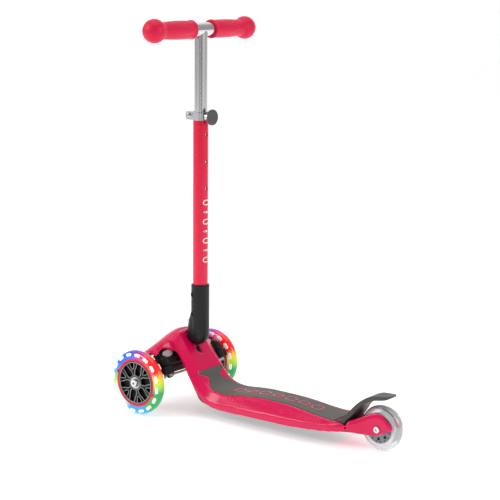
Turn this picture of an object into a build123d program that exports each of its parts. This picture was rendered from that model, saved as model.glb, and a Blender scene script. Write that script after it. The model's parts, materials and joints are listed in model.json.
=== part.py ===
from build123d import *
import os
from math import cos, radians, sin, sqrt

# A three-wheel folding kick scooter for a small child.
# Millimetres. +X is forward, +Y is the rider's left, +Z is up.
# The origin is on the ground, in the middle of the scooter's outline.
# The rider leans, the two front wheels steer about inclined kingpins, and
# the handlebar post folds back over the deck.

os.makedirs("parts", exist_ok=True)

# ---------------------------------------------------------------- driving sizes

FRONT_AXLE_X = 224.25
REAR_AXLE_X = -244.75
FRONT_WHEEL_R = 60.5
REAR_WHEEL_R = 40.0
FRONT_WHEEL_Y = 109.0           # middle plane of each front wheel
FRONT_WHEEL_HALF = 10.5         # half the tread width
REAR_WHEEL_HALF = 12.0

POST_X = 165.65                 # axis of the upright post
OUTER_TUBE_R = 14.25
OUTER_TUBE_BORE = 12.9
INNER_TUBE_R = 12.25
INNER_TUBE_BORE = 10.6
COLLAR_R = 15.9
COLLAR_LOW = 546.0
COLLAR_TOP = 561.0
SLEEVE_R = 17.25
SLEEVE_TOP = 238.3
HOLE_PITCH = 50.0               # height holes in the outer tube
HOLE_MIDDLE_Z = 470.0
HOLE_R = 3.2

BAR_Z = 711.0                   # axis of the crossbar
BAR_R = 12.5
GRIP_START = 27.0
GRIP_BALL_Y = 128.0
GRIP_BALL_R = 21.4

FOLD_X, FOLD_Z = 171.0, 143.0   # fold pin
KNUCKLE_R = 22.6                # round foot of the folding post
NEST_GAP = 0.4
FOOT_HALF = 17.25               # half width of that foot
# the foot's outline from its side to its middle, as y and radius about the pin
FOOT_LINE = ((16.6, 8.0), (14.2, 14.5), (9.8, 19.4), (5.0, 21.8))

KINGPIN = Vector(184.0, 75.0, 88.75)    # a point on the left kingpin
KINGPIN_LEAN = 30.8                     # degrees forward at the top
TIE_ARM = 20.0                          # kingpin to tie rod stud

AXLE_R = 4.0
BEARING_R = 11.0
BEARING_W = 7.0
RUNNING = 0.06                  # radial clearance of a running fit
GAP = 0.3                       # gap between pieces that move apart

BRAKE_PIN_X, BRAKE_PIN_Z = -177.0, 40.5
BRAKE_HALF = 33.5
BRAKE_PIN_HALF = 35.6

SIDES = (("left", 1), ("right", -1))


def save(builder, name):
    """Label a finished piece and write it out."""
    builder.part.label = name
    export_step(builder.part, f"parts/{name}.step")


def across(x, z, y=0.0):
    """A plane whose normal is -Y, local x forward and local y up."""
    return Plane(origin=(x, y, z), x_dir=(1, 0, 0), z_dir=(0, -1, 0))


def station(x):
    """An upright plane across the deck, local x to the left, local y up."""
    return Plane(origin=(x, 0, 0), x_dir=(0, 1, 0), z_dir=(1, 0, 0))


def coil(start, direction, length, mean_r, wire_r, turns):
    """A coil spring, as a thin sleeve with one round rib for each turn."""
    direction = Vector(direction)
    normal = direction.cross(Vector(0, 0, 1)) if abs(direction.Z) < 0.9 else Vector(0, 1, 0)
    pitch = length / turns
    with BuildPart() as spring:
        with BuildSketch(Plane(origin=start, x_dir=direction, z_dir=normal)):
            with Locations((length / 2, mean_r)):
                Rectangle(length, wire_r * 0.8)
            with Locations(*[((turn + 0.5) * pitch, mean_r) for turn in range(turns)]):
                Circle(wire_r)
        revolve(axis=Axis(start, direction))
    return spring.part


# The truck is drawn in axes that lean with the kingpins: local x is square
# to the kingpin (forward and down) and local y runs up along it.
LEAN = radians(KINGPIN_LEAN)
PIN_DIR = Vector(sin(LEAN), 0, cos(LEAN))
ARM_DIR = Vector(cos(LEAN), 0, -sin(LEAN))


def truck_plane(y):
    return Plane(origin=(KINGPIN.X, y, KINGPIN.Z), x_dir=ARM_DIR, z_dir=(0, -1, 0))


def pin_plane(y, along, forward=0.0):
    """A plane square to the kingpin at a height along it."""
    origin = Vector(KINGPIN.X, y, KINGPIN.Z) + PIN_DIR * along + ARM_DIR * forward
    return Plane(origin=origin, x_dir=ARM_DIR, z_dir=PIN_DIR)


# ----------------------------------------------------------------- fold bracket

EAR_IN, EAR_OUT = 9.7, 13.3             # the bracket's ears, from the middle plane
EAR_R = 10.0
FOOT_DROP = 17.0                        # degrees below level that the ears' foot reaches
FOLD_ANGLE = 90.0
FOLD_PIN_R = 4.0
WEB_BACK, WEB_FRONT = 195.0, 212.0
WEB_LOW, WEB_TOP = 127.5, 139.5


def fold_point(radius, degrees):
    """A point about the fold pin, in local x forward and y up."""
    return (radius * cos(radians(degrees)), radius * sin(radians(degrees)))


with BuildPart() as fold_bracket:
    for _, side in SIDES:
        with BuildSketch(across(FOLD_X, FOLD_Z, side * EAR_IN)):
            Circle(EAR_R)
            with BuildLine():
                Polyline((0, 0), fold_point(40, -8.0), fold_point(40, -FOOT_DROP), close=True)
            make_face()
            Circle(FOLD_PIN_R, mode=Mode.SUBTRACT)
        extrude(amount=-side * (EAR_OUT - EAR_IN))
    with Locations(((WEB_BACK + WEB_FRONT) / 2, 0, (WEB_LOW + WEB_TOP) / 2)):
        Box(WEB_FRONT - WEB_BACK, 2 * EAR_OUT, WEB_TOP - WEB_LOW)
save(fold_bracket, "fold_bracket")

# ------------------------------------------------------------------- deck shell

# x, top z, top half width, ridge z, ridge half width, bottom z, bottom half width
DECK = (
    (-275.0, 50.0, 14.6, 47.0, 16.4, 42.5, 15.6),
    (-262.0, 60.0, 15.2, 53.0, 17.2, 36.5, 16.6),
    (-246.0, 68.8, 15.6, 60.0, 17.8, 29.5, 17.2),
    (-226.0, 64.0, 18.0, 54.0, 20.4, 26.0, 19.4),
    (-206.0, 53.5, 25.0, 46.5, 28.0, 27.0, 26.5),
    (-186.0, 46.5, 33.5, 40.0, 38.0, 28.0, 36.0),
    (-160.0, 44.8, 37.0, 37.0, 44.5, 25.0, 42.5),
    (-130.0, 46.2, 34.0, 35.5, 48.0, 22.5, 46.0),
    (-95.0, 50.2, 32.4, 34.5, 50.5, 20.5, 48.5),
    (-40.0, 54.0, 31.6, 33.5, 52.5, 19.5, 50.5),
    (20.0, 53.0, 34.3, 32.5, 53.0, 19.0, 51.0),
    (60.0, 48.6, 38.0, 31.5, 52.5, 18.5, 50.5),
    (95.0, 47.8, 38.4, 31.0, 51.5, 19.5, 49.5),
    (118.0, 56.0, 36.6, 39.5, 50.5, 26.5, 48.5),
    (140.0, 78.5, 34.0, 61.0, 49.5, 45.5, 47.5),
    (162.0, 105.0, 31.5, 90.0, 47.5, 77.0, 45.5),
    (182.0, 131.0, 30.5, 117.5, 46.5, 104.0, 44.5),
    (200.0, 146.0, 30.0, 134.0, 46.0, 117.0, 44.0),
)
SHELL_WALL = 4.0
RIB_FOOT_Z = 27.4               # lower edge of the cross ribs

# The wings: y, then the closed outline of the outside in x and z.
WINGS = (
    (0.0, (178, 100), (196, 143), (206, 148.8), (220, 145), (240, 130), (254, 112), (250, 98)),
    (24.0, (182, 104), (198, 140), (207, 144.5), (220, 141), (239, 127), (252, 110), (248, 97)),
    (48.0, (196, 115), (203, 131), (210, 135.0), (221, 132), (236, 120), (246, 106), (242, 96)),
    (70.0, (202, 117), (208, 124), (213, 126.6), (222, 124), (234, 115), (241, 104), (238, 96)),
    (92.0, (211, 111), (213, 113), (217, 115.4), (223, 114), (231, 108), (236, 101), (233, 95)),
)
# The space under the wings that the truck fills.
ARCH = (
    (0.0, (186, 96), (203, 118), (212, 122), (232, 112), (240, 92)),
    (48.0, (190, 96), (205, 116), (211, 121), (230, 111), (236, 90)),
    (70.0, (192, 96), (204, 115.5), (212, 119.5), (227, 110), (232, 90)),
    (94.0, (200, 96), (211, 109.5), (217, 110.8), (225, 104), (228, 90)),
)

PAD_TIP_X = 141.0
PAD_END_X = -165.5
PAD_THICK = 2.6
PAD_PROUD = 0.6
# x and half width of the pad's outline, from the tail to the tip
PAD_PLAN = (
    (PAD_END_X, 36.0), (-158.0, 32.6), (-145.0, 30.2), (-130.0, 29.7), (-100.0, 28.6),
    (-70.0, 27.8), (-40.0, 28.2), (-10.0, 29.1), (20.0, 30.9), (50.0, 34.1), (80.0, 35.4),
    (100.0, 33.8), (118.0, 28.6), (132.0, 18.6),
)


with BuildPart() as deck_body:
    for x, top_z, top_w, ridge_z, ridge_w, low_z, low_w in DECK:
        with BuildSketch(station(x)):
            with BuildLine():
                Polyline(
                    (low_w, low_z), (ridge_w, ridge_z), (top_w, top_z),
                    (-top_w, top_z), (-ridge_w, ridge_z), (-low_w, low_z), close=True,
                )
            make_face()
    loft()

with BuildPart() as deck_hollow:
    for x, top_z, top_w, ridge_z, ridge_w, low_z, low_w in DECK[4:15]:
        with BuildSketch(station(x)):
            with BuildLine():
                roof, wall = SHELL_WALL + 1.0, SHELL_WALL + 0.5
                Polyline(
                    (low_w - wall + 1, low_z - 3), (ridge_w - wall, ridge_z - 1),
                    (top_w - wall + 1, top_z - roof), (wall - top_w - 1, top_z - roof),
                    (wall - ridge_w, ridge_z - 1), (wall - low_w - 1, low_z - 3), close=True,
                )
            make_face()
    loft()
    # cross ribs stay solid above the under cover, and so does the whole tail
    for rib_x in (-130.0, -75.0, -20.0, 35.0, 90.0):
        with Locations((rib_x, 0, RIB_FOOT_Z)):
            Box(3.0, 120.0, 120.0, align=(Align.CENTER, Align.CENTER, Align.MIN), mode=Mode.SUBTRACT)
    with Locations((-220.0, 0, 60.0)):
        Box(100.0, 120.0, 120.0, mode=Mode.SUBTRACT)

with BuildPart() as wing_body:
    for y, *outline in tuple((-row[0], *row[1:]) for row in WINGS[:0:-1]) + WINGS:
        with BuildSketch(across(0, 0, y)):
            with BuildLine():
                Polyline(*outline, close=True)
            make_face()
    loft()

with BuildPart() as arch_space:
    for y, *outline in tuple((-row[0], *row[1:]) for row in ARCH[:0:-1]) + ARCH:
        with BuildSketch(across(0, 0, y)):
            with BuildLine():
                Polyline(*outline, close=True)
            make_face()
    loft()

# the pad is a slice of the deck's own top, cut to its outline
with BuildPart() as pad_blank:
    add(deck_body.part.moved(Location((0, 0, PAD_PROUD))))
    add(deck_body.part.moved(Location((0, 0, -PAD_THICK))), mode=Mode.SUBTRACT)

with BuildPart() as deck_pad:
    with BuildSketch(Plane.XY):
        with BuildLine():
            side = Spline(*PAD_PLAN, (PAD_TIP_X, 0.0), tangents=((1, -0.5), (0, -1)))
            mirror(side, about=Plane.XZ)
            Line((PAD_END_X, -PAD_PLAN[0][1]), (PAD_END_X, PAD_PLAN[0][1]))
        make_face()
    extrude(amount=140.0)
    add(pad_blank.part, mode=Mode.INTERSECT)
pad_main = deck_pad.part.solids().sort_by(SortBy.VOLUME)[-1]
print("pad solids", len(deck_pad.part.solids()), pad_main.bounding_box())
with BuildPart() as deck_pad:
    add(pad_main)
save(deck_pad, "deck_pad")

FORK_SLOT_R = REAR_WHEEL_R + 3.2
FORK_SLOT_HALF = REAR_WHEEL_HALF + 0.8
BRAKE_WELL_FRONT = -168.0
BRAKE_WELL_BACK = -192.0
BRAKE_WELL_FLOOR = 33.2
BRAKE_WELL_HALF = BRAKE_HALF + 0.8

LOCK_Z = 113.0                  # axis of the steering lock button
LOCK_CAP_R = 8.0
LOCK_FRONT = 257.0
LOCK_SEAT = 243.0

with BuildPart() as deck_shell:
    add(deck_body.part)
    add(wing_body.part)
    add(deck_hollow.part, mode=Mode.SUBTRACT)
    add(arch_space.part, mode=Mode.SUBTRACT)
    add(deck_pad.part, mode=Mode.SUBTRACT)
    # slot for the rear wheel
    with BuildSketch(across(REAR_AXLE_X, REAR_WHEEL_R)):
        Circle(FORK_SLOT_R)
        with Locations((-FORK_SLOT_R, 0)):
            Rectangle(2 * FORK_SLOT_R, 2 * FORK_SLOT_R)
    extrude(amount=FORK_SLOT_HALF, both=True, mode=Mode.SUBTRACT)
    # holes for the rear axle
    with Locations(Location((REAR_AXLE_X, 0, REAR_WHEEL_R), (90, 0, 0))):
        Cylinder(AXLE_R, 60.0, mode=Mode.SUBTRACT)
    # well for the brake's root, with the brake pin through its side walls
    with Locations(((BRAKE_WELL_FRONT + BRAKE_WELL_BACK) / 2, 0, BRAKE_WELL_FLOOR + 20.0)):
        Box(BRAKE_WELL_FRONT - BRAKE_WELL_BACK, 2 * BRAKE_WELL_HALF, 40.0, mode=Mode.SUBTRACT)
    with Locations(Location((BRAKE_PIN_X, 0, BRAKE_PIN_Z), (90, 0, 0))):
        Cylinder(2.5, 2 * BRAKE_PIN_HALF, mode=Mode.SUBTRACT)
    # nest for the round foot of the post, and the locating notch behind it
    with BuildSketch(Plane(origin=(FOLD_X, 0, FOLD_Z), x_dir=(0, 1, 0), z_dir=(1, 0, 0))):
        with BuildLine():
            nest_line = tuple((y + NEST_GAP, radius + NEST_GAP) for y, radius in FOOT_LINE)
            half, deep = FOOT_HALF + NEST_GAP, KNUCKLE_R + NEST_GAP
            near = Spline((half, 0), *nest_line, (0, deep), tangents=((0, 1), (-1, 0)))
            mirror(near, about=Plane.YZ)
            Line((half, 0), (-half, 0))
        make_face()
    revolve(axis=Axis((FOLD_X, 0, FOLD_Z), (0, 1, 0)), mode=Mode.SUBTRACT)
    with BuildSketch(Plane(origin=(170.0, 0, 116.0), x_dir=(0, 1, 0), z_dir=(-0.76, 0, 0.65))):
        SlotOverall(26.0, 9.0, rotation=90)
    extrude(amount=5.0, both=True, mode=Mode.SUBTRACT)
    # pocket for the fold bracket
    add(fold_bracket.part, mode=Mode.SUBTRACT)
    # bore for the steering lock button on the nose
    with Locations(Location((LOCK_SEAT + 20.0, 0, LOCK_Z), (0, 90, 0))):
        Cylinder(LOCK_CAP_R + GAP, 40.0, mode=Mode.SUBTRACT)
    with Locations(Location((LOCK_SEAT - 10.0, 0, LOCK_Z), (0, 90, 0))):
        Cylinder(3.0 + GAP, 30.0, mode=Mode.SUBTRACT)

print("deck shell", deck_shell.part.is_valid, len(deck_shell.part.solids()))
save(deck_shell, "deck_shell")

# ------------------------------------------------------------------ under cover

COVER_WALL = 4.0
COVER_DROP = 6.5                # how far the cover hangs below the neck's edge

with BuildPart() as under_cover:
    for x, _, _, ridge_z, ridge_w, low_z, low_w in DECK[6:16]:
        with BuildSketch(station(x)):
            with BuildLine():
                drop = COVER_DROP * min(1.0, max(0.0, (x - 100.0) / 30.0))
                half = low_w - SHELL_WALL - 1.5
                low = low_z + 0.5 - drop * 1.4
                Polyline(
                    (half, low), (half, low + COVER_WALL + drop),
                    (-half, low + COVER_WALL + drop), (-half, low), close=True,
                )
            make_face()
    loft()
    add(deck_shell.part, mode=Mode.SUBTRACT)
    # screw holes
    with Locations(*[(x, y, 20.0) for x in (-110.0, 0.0, 95.0) for y in (-30.0, 30.0)]):
        Cylinder(2.2, 60.0, mode=Mode.SUBTRACT)
cover_main = under_cover.part.solids().sort_by(SortBy.VOLUME)[-1]
print("under cover solids", [round(solid.volume) for solid in under_cover.part.solids()])
with BuildPart() as under_cover:
    add(cover_main)
save(under_cover, "under_cover")

with BuildPart() as cover_screws:
    for x in (-110.0, 0.0, 95.0):
        for y in (-30.0, 30.0):
            with Locations((x, y, 25.0)):
                Cylinder(2.0, 12.0, align=(Align.CENTER, Align.CENTER, Align.MIN))
save(cover_screws, "cover_screws")

# ------------------------------------------------------------------------ truck

BOSS_R = 11.0
PIN_R = 4.0
BOSS_LOW, BOSS_TOP = 2.0, 17.0          # span of the upper kingpin boss
BARREL_LOW, BARREL_TOP = -15.0, 1.6     # span of the knuckle barrel
BARREL_R = 9.5

# outline square to Y, in the leaning axes: the closed middle of the truck
TRUCK = ((3, -2), (2.4, 33), (11, 37), (20, 33), (37, 24), (43, 8), (40, -6), (30, -9), (8.5, -9))
TRUCK_HALF = 60.0
TRUCK_ARM_HALF = 78.0
TRUCK_TIP_HALF = 87.0
TRUCK_ARM = ((-4, 3), (-4, 14), (2.4, 17.5), (2.4, 31.5), (10, 33), (30, 20), (33, 8), (12, 3))
# the arm narrows beyond that, to follow the tip of the wing
TRUCK_TIP = ((4, 4), (5, 12), (9, 17), (12, 27), (15, 28), (28, 19), (31, 9), (16, 4))
SPRING_BAY = ((11, -12), (11, 4), (29, 4), (29, -12))

with BuildPart() as truck_housing:
    with BuildSketch(truck_plane(0)):
        with BuildLine():
            Polyline(*TRUCK, close=True)
        make_face()
    extrude(amount=TRUCK_HALF, both=True)
    with BuildSketch(truck_plane(0)):
        with BuildLine():
            Polyline(*TRUCK_ARM, close=True)
        make_face()
    extrude(amount=TRUCK_ARM_HALF, both=True)
    for _, side in SIDES:
        for y, outline in ((TRUCK_ARM_HALF - 1.0, TRUCK_ARM), (TRUCK_TIP_HALF, TRUCK_TIP)):
            with BuildSketch(truck_plane(side * y)):
                with BuildLine():
                    Polyline(*outline, close=True)
                make_face()
        loft()
    # bay for the tie rod's tab and the centring springs
    with BuildSketch(truck_plane(0)):
        with BuildLine():
            Polyline(*SPRING_BAY, close=True)
        make_face()
    extrude(amount=38.0, both=True, mode=Mode.SUBTRACT)
    for _, side in SIDES:
        with BuildSketch(pin_plane(side * KINGPIN.Y, BOSS_LOW)):
            Circle(BOSS_R)
        extrude(amount=BOSS_TOP - BOSS_LOW)
    for _, side in SIDES:
        with BuildSketch(pin_plane(side * KINGPIN.Y, BOSS_LOW - 1)):
            Circle(PIN_R)
        extrude(amount=BOSS_TOP - BOSS_LOW + 20, mode=Mode.SUBTRACT)
        # flat seat for the kingpin's head
        with BuildSketch(pin_plane(side * KINGPIN.Y, BOSS_TOP)):
            Circle(8.0)
        extrude(amount=20.0, mode=Mode.SUBTRACT)
    # keep clear of the shell above and of the lock stem
    add(deck_shell.part, mode=Mode.SUBTRACT)
    with Locations(Location((230.0, 0, LOCK_Z), (0, 90, 0))):
        Cylinder(3.0 + GAP, 60.0, mode=Mode.SUBTRACT)

truck_main = truck_housing.part.solids().sort_by(SortBy.VOLUME)[-1]
print("truck solids", len(truck_housing.part.solids()), truck_main.volume)
with BuildPart() as truck_housing:
    add(truck_main)
save(truck_housing, "truck_housing")

# oval plates on the back of the truck
PLATE_Y, PLATE_UP = 57.0, 24.5
with BuildPart() as trim_plates:
    for _, side in SIDES:
        origin = Vector(KINGPIN.X, side * PLATE_Y, KINGPIN.Z) + PIN_DIR * PLATE_UP + ARM_DIR * 2.4
        with BuildSketch(Plane(origin=origin, x_dir=(0, 1, 0), z_dir=ARM_DIR * -1)):
            Ellipse(14.0, 6.4)
        extrude(amount=1.6)
    chamfer(trim_plates.faces().filter_by(Axis(origin=(0, 0, 0), direction=ARM_DIR)).edges(), 0.3)
    # trimmed where they tuck in behind the boss and the wing
    add(truck_housing.part, mode=Mode.SUBTRACT)
    add(deck_shell.part, mode=Mode.SUBTRACT)
print("plate solids", len(trim_plates.part.solids()), trim_plates.part.is_valid)
save(trim_plates, "trim_plates")

with BuildPart() as kingpin_bolts:
    for _, side in SIDES:
        with BuildSketch(pin_plane(side * KINGPIN.Y, BARREL_LOW - 6.0)):
            Circle(PIN_R)
        extrude(amount=BOSS_TOP - BARREL_LOW + 6.0)
        with BuildSketch(pin_plane(side * KINGPIN.Y, BOSS_TOP)):
            Circle(6.6)
        extrude(amount=3.6, taper=18)
save(kingpin_bolts, "kingpin_bolts")

with BuildPart() as kingpin_nuts:
    for _, side in SIDES:
        with BuildSketch(pin_plane(side * KINGPIN.Y, BARREL_LOW - 5.2)):
            RegularPolygon(6.6, 6)
            Circle(PIN_R, mode=Mode.SUBTRACT)
        extrude(amount=4.8)
save(kingpin_nuts, "kingpin_nuts")

# --------------------------------------------------------------------- knuckles

BUSH_R = 5.8
AXLE_ALONG = (FRONT_AXLE_X - KINGPIN.X) * sin(LEAN) + (FRONT_WHEEL_R - KINGPIN.Z) * cos(LEAN)
AXLE_FORWARD = (FRONT_AXLE_X - KINGPIN.X) * cos(LEAN) - (FRONT_WHEEL_R - KINGPIN.Z) * sin(LEAN)
ARM_IN, ARM_OUT = 80.0, 90.5            # distance of the axle arm from the middle plane
NOSE_Y = FRONT_WHEEL_Y - FRONT_WHEEL_HALF      # where the wheel begins
STUD_TOP, STUD_LOW = -12.0, -17.6
ROD_TOP = STUD_TOP - GAP
ROD_THICK = 3.0
ROD_HALF = 9.0

for name, side in SIDES:
    y = side * KINGPIN.Y
    with BuildPart() as knuckle:
        with BuildSketch(pin_plane(y, BARREL_LOW)):
            Circle(BARREL_R)
        extrude(amount=BARREL_TOP - BARREL_LOW)
        # axle arm, outboard of the barrel
        with BuildSketch(truck_plane(side * ARM_IN)):
            with BuildLine():
                Polyline(
                    (-7, BARREL_LOW + 1), (-7, 0.5), (12, 0.5), (AXLE_FORWARD, AXLE_ALONG + 9.5),
                    (AXLE_FORWARD + 9.5, AXLE_ALONG), (AXLE_FORWARD, AXLE_ALONG - 9.5),
                    (34, STUD_TOP + 0.5), (10.5, STUD_TOP + 0.5), (9, BARREL_LOW + 1), close=True,
                )
            make_face()
        extrude(amount=-side * (ARM_OUT - ARM_IN))
        # axle boss and its narrow nose
        with BuildSketch(across(FRONT_AXLE_X, FRONT_WHEEL_R, side * ARM_IN)):
            Circle(11.0)
        extrude(amount=-side * (96.0 - ARM_IN))
        with BuildSketch(across(FRONT_AXLE_X, FRONT_WHEEL_R, side * 96.0)):
            Circle(6.0)
        extrude(amount=-side * (NOSE_Y - 96.0))
        # steering arm with its stud for the tie rod
        with BuildSketch(pin_plane(y, STUD_TOP)):
            with BuildLine():
                Polyline((0, -8), (TIE_ARM, -7), (TIE_ARM + 7, 0), (TIE_ARM, 7), (0, 8), close=True)
            make_face()
        extrude(amount=5.0)
        with BuildSketch(pin_plane(y, STUD_LOW, TIE_ARM)):
            Circle(3.0)
        extrude(amount=STUD_TOP - STUD_LOW + 1)
        with BuildSketch(pin_plane(y, STUD_LOW, TIE_ARM)):
            Circle(5.0)
        extrude(amount=ROD_TOP - ROD_THICK - GAP - STUD_LOW)
        # bores for the kingpin bush and the axle
        with BuildSketch(pin_plane(y, BARREL_LOW - 10)):
            Circle(BUSH_R)
        extrude(amount=40.0, mode=Mode.SUBTRACT)
        with BuildSketch(across(FRONT_AXLE_X, FRONT_WHEEL_R, side * (ARM_IN - 5))):
            Circle(AXLE_R)
        extrude(amount=-side * 40.0, mode=Mode.SUBTRACT)
    print("knuckle solids", len(knuckle.part.solids()))
    save(knuckle, f"knuckle_{name}")

    with BuildPart() as bush:
        with BuildSketch(pin_plane(y, BARREL_LOW)):
            Circle(BUSH_R)
            Circle(PIN_R + RUNNING, mode=Mode.SUBTRACT)
        extrude(amount=BARREL_TOP - BARREL_LOW)
    save(bush, f"kingpin_bush_{name}")

    with BuildPart() as axle_bolt:
        with BuildSketch(across(FRONT_AXLE_X, FRONT_WHEEL_R, side * 79.0)):
            Circle(AXLE_R)
        extrude(amount=-side * (120.0 - 79.0))
        with BuildSketch(across(FRONT_AXLE_X, FRONT_WHEEL_R, side * 120.0)):
            Circle(8.0)
        extrude(amount=-side * 3.5, taper=20)
        with BuildSketch(across(FRONT_AXLE_X, FRONT_WHEEL_R, side * 123.6)):
            RegularPolygon(2.9, 6)
        extrude(amount=side * 2.4, mode=Mode.SUBTRACT)
    save(axle_bolt, f"axle_bolt_{name}")

TAB_HALF = 2.0
with BuildPart() as tie_rod:
    with BuildSketch(pin_plane(0, ROD_TOP - ROD_THICK, TIE_ARM)):
        SlotOverall(2 * KINGPIN.Y + 2 * ROD_HALF, 2 * ROD_HALF, rotation=90)
    extrude(amount=ROD_THICK)
    # tab that the centring springs push on
    with BuildSketch(pin_plane(0, ROD_TOP, TIE_ARM)):
        Rectangle(12.0, 2 * TAB_HALF)
    extrude(amount=14.0)
    with BuildSketch(pin_plane(KINGPIN.Y, ROD_TOP - 10, TIE_ARM)):
        Circle(3.0 + RUNNING)
    extrude(amount=20, mode=Mode.SUBTRACT)
    with BuildSketch(pin_plane(-KINGPIN.Y, ROD_TOP - 10, TIE_ARM)):
        Circle(3.0 + GAP)
    extrude(amount=20, mode=Mode.SUBTRACT)
save(tie_rod, "tie_rod")

# centring springs lie along Y inside the bay, one each side of the tab
SPRING_ALONG = -3.6
SPRING_REACH = 38.0 - TAB_HALF - 0.6
with BuildPart() as centring_springs:
    for _, side in SIDES:
        seat = Vector(KINGPIN.X, side * (TAB_HALF + 0.3), KINGPIN.Z)
        seat = seat + PIN_DIR * SPRING_ALONG + ARM_DIR * TIE_ARM
        add(coil(seat, (0, side, 0), SPRING_REACH, 4.0, 0.9, 14))
save(centring_springs, "centring_springs")

# ----------------------------------------------------------------------- wheels

RIM_RING_R = 45.2
CORE_R = 40.8
HUB_R = 13.5
SPACER_R = 6.5
GROOVE_R = 48.6                 # light ring groove in the tyre's bore
GROOVE_HALF = 4.0
SPOKES = 6
SPOKE_FORK = 15.0               # half angle between a spoke's two prongs


def about_wheel(y_mid, x=FRONT_AXLE_X, z=FRONT_WHEEL_R):
    """A plane through the wheel's middle, local x along +Y, local y outwards."""
    return Plane(origin=(x, y_mid, z), x_dir=(0, 1, 0), z_dir=(1, 0, 0))


for name, side in SIDES:
    y_mid = side * FRONT_WHEEL_Y
    axle = Axis((FRONT_AXLE_X, y_mid, FRONT_WHEEL_R), (0, 1, 0))
    half = FRONT_WHEEL_HALF
    with BuildPart() as tyre:
        with BuildSketch(about_wheel(y_mid)):
            with BuildLine():
                Polyline((-half, 52.0), (-half + 1.2, RIM_RING_R), (half - 1.2, RIM_RING_R), (half, 52.0))
                ThreePointArc((half, 52.0), (0, FRONT_WHEEL_R), (-half, 52.0))
            make_face()
            with Locations((0, RIM_RING_R)):
                Rectangle(2 * GROOVE_HALF, 2 * (GROOVE_R - RIM_RING_R), mode=Mode.SUBTRACT)
        revolve(axis=axle)
    save(tyre, f"wheel_{name}_tyre")

    with BuildPart() as light_ring:
        with BuildSketch(about_wheel(y_mid)):
            with Locations((0, (RIM_RING_R + GROOVE_R) / 2)):
                Rectangle(2 * GROOVE_HALF - 0.4, GROOVE_R - RIM_RING_R - 0.2)
        revolve(axis=axle)
    save(light_ring, f"wheel_{name}_light_ring")

    with BuildPart() as rim_ring:
        with BuildSketch(about_wheel(y_mid)):
            with Locations((0, (CORE_R + RIM_RING_R) / 2)):
                Rectangle(2 * half - 2.4, RIM_RING_R - CORE_R)
        revolve(axis=axle)
    save(rim_ring, f"wheel_{name}_rim_ring")

    with BuildPart() as core:
        with BuildSketch(about_wheel(y_mid)):
            Rectangle(5.0, 2 * CORE_R)                              # web
            with Locations((0, (CORE_R + 37.4) / 2)):
                Rectangle(2 * half - 3.6, CORE_R - 37.4)            # rim
            with Locations((0, HUB_R / 2)):
                Rectangle(2 * half - 0.6, HUB_R)                    # hub
            with Locations((0, -CORE_R)):
                Rectangle(4 * half, 2 * CORE_R, mode=Mode.SUBTRACT)
        revolve(axis=axle)
        # forked spokes, on both faces of the web
        with BuildSketch(across(FRONT_AXLE_X, FRONT_WHEEL_R, y_mid)):
            for spoke in range(SPOKES):
                turn = 360.0 / SPOKES * spoke + 15.0
                with Locations(Location((0, 0, 0), turn)):
                    with Locations((17.0, 0)):
                        Rectangle(14.0, 4.4)
                for prong in (-SPOKE_FORK, SPOKE_FORK):
                    start = Vector(22.5, 0).rotate(Axis.Z, turn)
                    tip = Vector(39.0, 0).rotate(Axis.Z, turn + prong)
                    middle = (start + tip) * 0.5
                    run = tip - start
                    angle = Vector(1, 0).get_signed_angle(run, Vector(0, 0, 1))
                    with Locations(Location((middle.X, middle.Y, 0), angle)):
                        Rectangle(run.length + 2.0, 3.2)
        extrude(amount=half - 2.2, both=True)
        with BuildSketch(across(FRONT_AXLE_X, FRONT_WHEEL_R, y_mid)):
            Circle(CORE_R + 20)
            Circle(CORE_R, mode=Mode.SUBTRACT)
        extrude(amount=half, both=True, mode=Mode.SUBTRACT)
        # bearing seats and the bore for the spacer between them
        with BuildSketch(across(FRONT_AXLE_X, FRONT_WHEEL_R, y_mid)):
            Circle(SPACER_R + 1.0)
        extrude(amount=half, both=True, mode=Mode.SUBTRACT)
        for face in (-1, 1):
            with BuildSketch(across(FRONT_AXLE_X, FRONT_WHEEL_R, y_mid + face * (half - 0.3 - BEARING_W))):
                Circle(BEARING_R)
            extrude(amount=-face * (BEARING_W + 2), mode=Mode.SUBTRACT)
    print("core solids", len(core.part.solids()))
    save(core, f"wheel_{name}_core")

    with BuildPart() as bearings:
        for face in (-1, 1):
            with BuildSketch(across(FRONT_AXLE_X, FRONT_WHEEL_R, y_mid + face * (half - 0.4))):
                Circle(BEARING_R)
                Circle(AXLE_R + RUNNING, mode=Mode.SUBTRACT)
            extrude(amount=face * (BEARING_W - 0.1))
    save(bearings, f"wheel_{name}_bearings")

    with BuildPart() as spacer:
        with BuildSketch(across(FRONT_AXLE_X, FRONT_WHEEL_R, y_mid)):
            Circle(SPACER_R)
            Circle(AXLE_R + RUNNING, mode=Mode.SUBTRACT)
        extrude(amount=half - 0.3 - BEARING_W - 0.1, both=True)
    save(spacer, f"wheel_{name}_spacer")

REAR_CORE_R = 26.0
rear_axle = Axis((REAR_AXLE_X, 0, REAR_WHEEL_R), (0, 1, 0))
rear_plane = about_wheel(0, REAR_AXLE_X, REAR_WHEEL_R)
rear_half = REAR_WHEEL_HALF

with BuildPart() as rear_tyre:
    with BuildSketch(rear_plane):
        with BuildLine():
            Polyline((-rear_half, 32.0), (-rear_half + 1.0, REAR_CORE_R), (rear_half - 1.0, REAR_CORE_R),
                     (rear_half, 32.0))
            ThreePointArc((rear_half, 32.0), (0, REAR_WHEEL_R), (-rear_half, 32.0))
        make_face()
    revolve(axis=rear_axle)
save(rear_tyre, "rear_tyre")

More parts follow.
